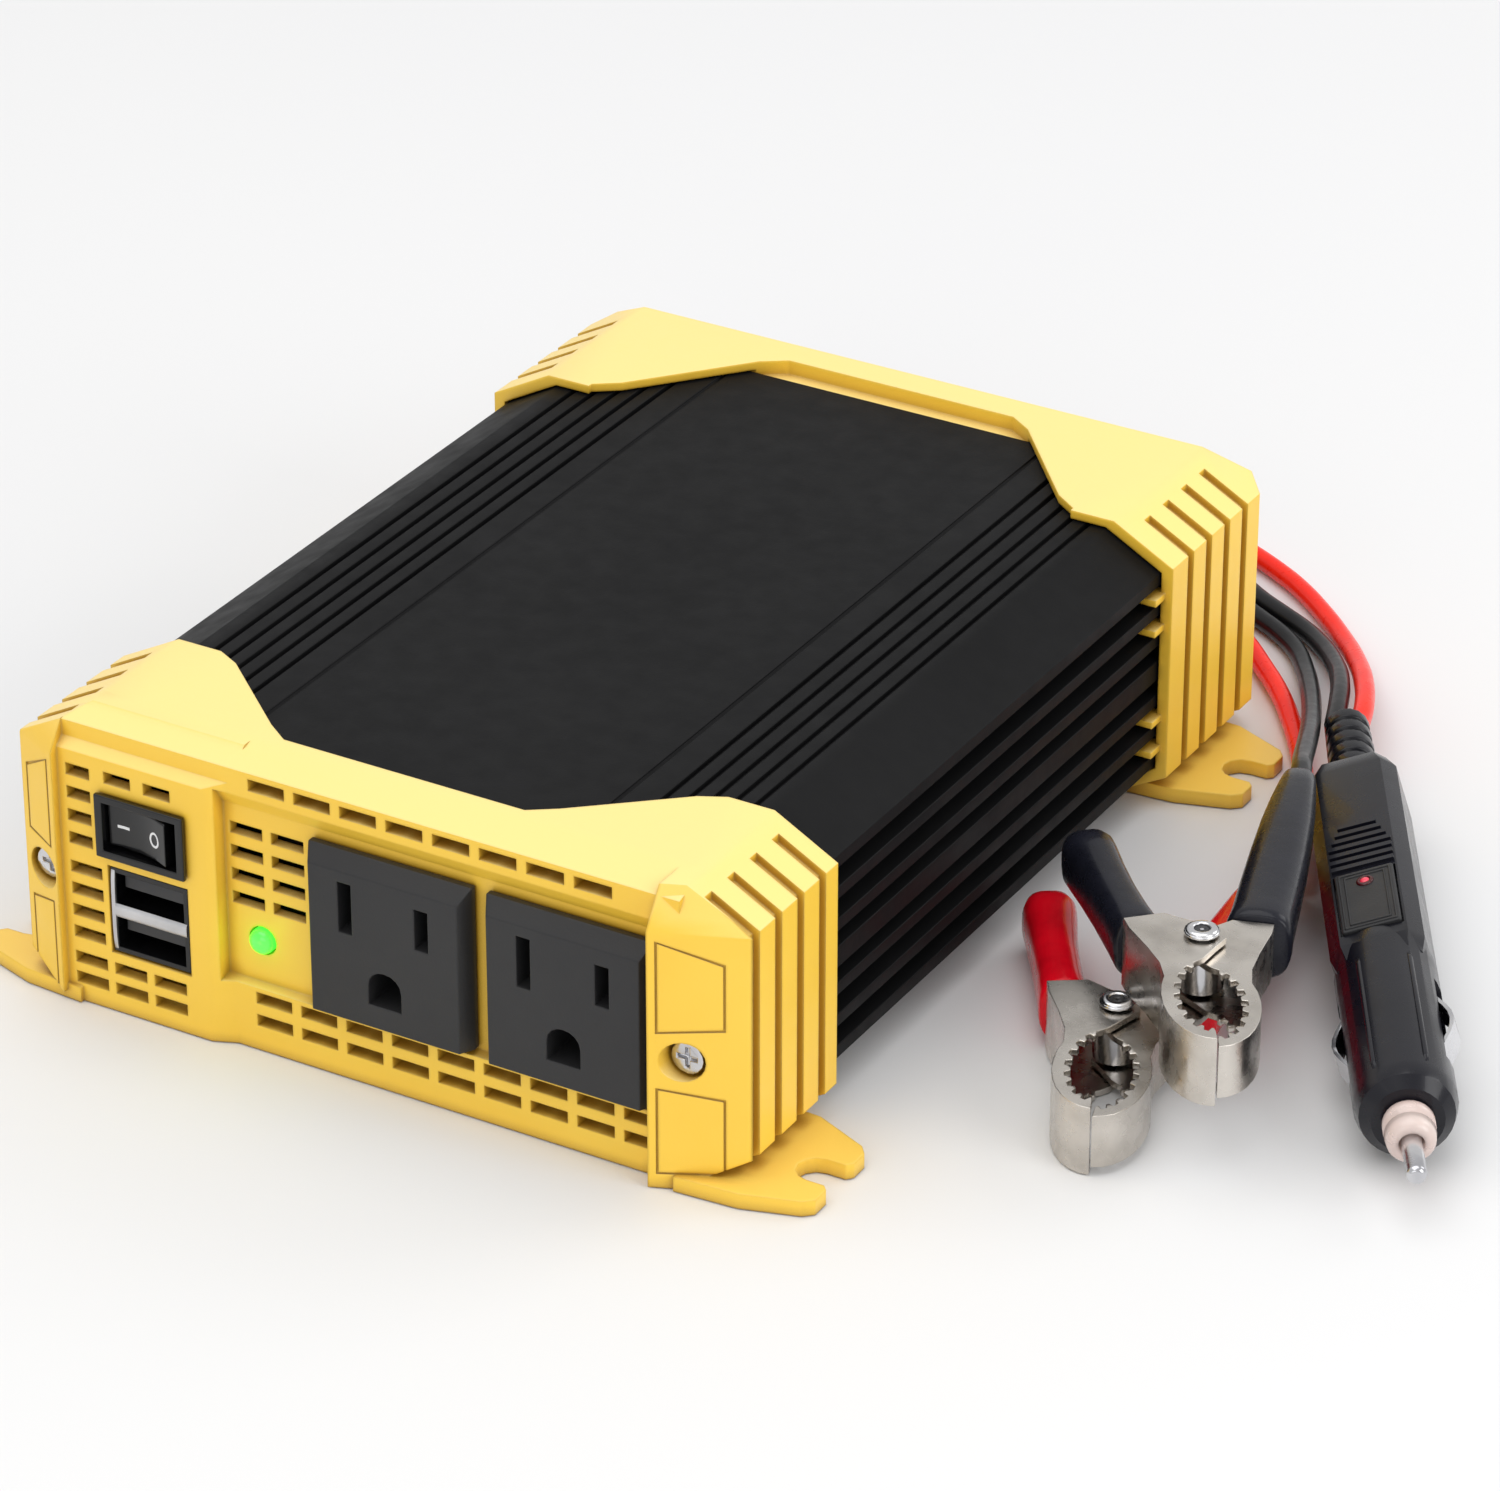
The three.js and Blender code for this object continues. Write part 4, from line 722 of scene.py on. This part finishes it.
LEAD_OUT = {
    "plug_red": [(-32, 124, 3), (-22, 127.8, 1.7), (-10, 129.4, 1.7), (4, 129.8, 1.7),
                 (16, 128.6, 1.7), (27, 125.6, 1.7), (36, 121.3, 1.7), (41.3, 118.4, 1.7),
                 (46.9, 114.8, 1.7), (54.6, 108.4, 1.7), (61.2, 101.5, 2.2), (67.6, 92.9, 4),
                 (73.7, 82.6, 6.4), (78.3, 72.8, 8), (80.5, 66.4, 8.45)],
    "plug_black": [(-34, 121.8, 11), (-27, 123, 7.6), (-20, 124.6, 4.2), (-12, 125.6, 2.2),
                   (0, 125.7, 1.7), (11, 124.6, 1.7), (21, 121.8, 1.7), (30, 117.2, 1.7),
                   (37, 112.4, 1.7), (43.4, 108, 1.7), (48.9, 105, 1.7), (53.8, 102.3, 1.7),
                   (58.7, 98.2, 2.2), (65, 90.3, 4), (70.7, 80.3, 6.5), (74.8, 70.8, 8),
                   (77.2, 64.5, 8.45)],
    "clamp_red": [(13, 118.2, 3), (20, 114, 1.7), (29, 107.4, 1.7), (38, 101, 1.7),
                  (47.3, 94.1, 1.7), (53.9, 87.6, 1.7), (60.2, 80.8, 1.7), (65.7, 73.6, 1.7),
                  (70.2, 67, 1.7), (74.3, 60.1, 1.7), (78.5, 52.1, 1.7), (82.1, 44.4, 2),
                  (84.9, 37.7, 3.4), (86.8, 32.4, 4.8), (87.4, 28.5, 5.5)],
    "clamp_black": [(11, 120.6, 11), (17, 119, 7.6), (24, 116, 4.2), (30.6, 111.9, 2.2),
                    (36, 108.2, 1.7), (41.2, 104.9, 1.7), (46.4, 101.9, 1.7), (51.4, 98.9, 1.7),
                    (56.1, 95, 1.7), (60.6, 88.8, 2.4), (65.3, 80.7, 4.2), (70.4, 70.7, 6.8),
                    (75.1, 60.4, 9.8), (79.5, 49.8, 13), (83.4, 40, 15.8), (85.4, 35.5, 17.2),
                    (86.9, 31.8, 17.7)],
}


def coil_turns(centre_x, floor_z):
    """Three and a half turns: outer and inner on the floor, then inner and half an outer turn on top."""
    radii = [COIL_OUTER, COIL_INNER, COIL_INNER, COIL_OUTER]
    rises = [0, 0, LAYER_RISE, LAYER_RISE]
    last_lap = len(radii) - 1
    points = []
    for k in range(int(COIL_TURNS * POINTS_PER_TURN) + 1):
        turn = k / POINTS_PER_TURN
        lap = min(int(turn), last_lap)
        after = min(lap + 1, last_lap)
        change = max(0.0, (turn - lap - 1 + LANE_CHANGE) / LANE_CHANGE) if lap < last_lap else 0.0
        ease = change * change * (3 - 2 * change)
        radius = radii[lap] + ease * (radii[after] - radii[lap])
        rise = rises[lap] + ease * (rises[after] - rises[lap])
        angle = -FULL_TURN / 4 - FULL_TURN * turn
        points.append((centre_x + radius * math.cos(angle), COIL_CENTRE_Y + radius * math.sin(angle),
                       floor_z + rise))
    return points


def lead_route(name):
    end, colour = name.split("_")
    route = LEAD_IN[name] + coil_turns(COIL_X[end], COIL_FLOOR[colour]) + LEAD_OUT[name]
    return [Vector(point) * MM for point in route]


def tube_curve(name, points, diameter):
    """A smooth round tube through the points, as a curve of one open spline."""
    data = bpy.data.curves.new(name, "CURVE")
    data.dimensions = "3D"
    data.bevel_depth = diameter / 2
    data.bevel_resolution = 5
    data.use_fill_caps = True
    data.resolution_u = 6
    spline = data.splines.new("BEZIER")
    spline.bezier_points.add(len(points) - 1)
    for point, place in zip(spline.bezier_points, points):
        point.co = place
        point.handle_left_type = point.handle_right_type = "AUTO"
    obj = bpy.data.objects.new(name, data)
    scene.collection.objects.link(obj)
    return obj


def make_lead(name):
    colour = name.split("_")[1]
    route = lead_route(name)
    lead = tube_curve("lead_" + name, route, LEAD_DIAMETER * MM)
    lead.data.materials.append(lead_vinyl[colour].data)
    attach(lead, "root")
    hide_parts(*(f"lead_{name}_{part}" for part in ("inner", "coil", "outer")))


make_lead("plug_red")
make_lead("plug_black")
make_lead("clamp_red")
make_lead("clamp_black")


# ---- floor ----

FLOOR_REACH = 3
FLOOR_DROP = 0.0002


def make_floor():
    """A square of pale paper, FLOOR_REACH metres each way and just under the object."""
    corners = [(-1, -1), (1, -1), (1, 1), (-1, 1)]
    mesh = bpy.data.meshes.new("floor")
    mesh.from_pydata([(x * FLOOR_REACH, y * FLOOR_REACH, 0) for x, y in corners], [], [(0, 1, 2, 3)])
    floor = bpy.data.objects.new("floor", mesh)
    scene.collection.objects.link(floor)
    paper = Material("floor_paper", rgb(228, 228, 228), 0.9)
    paper.vary_colour(paper.noise(0.4, 2), rgb(227, 227, 228), rgb(229, 229, 229))
    mesh.materials.append(paper.data)
    floor.location.z = -FLOOR_DROP


make_floor()
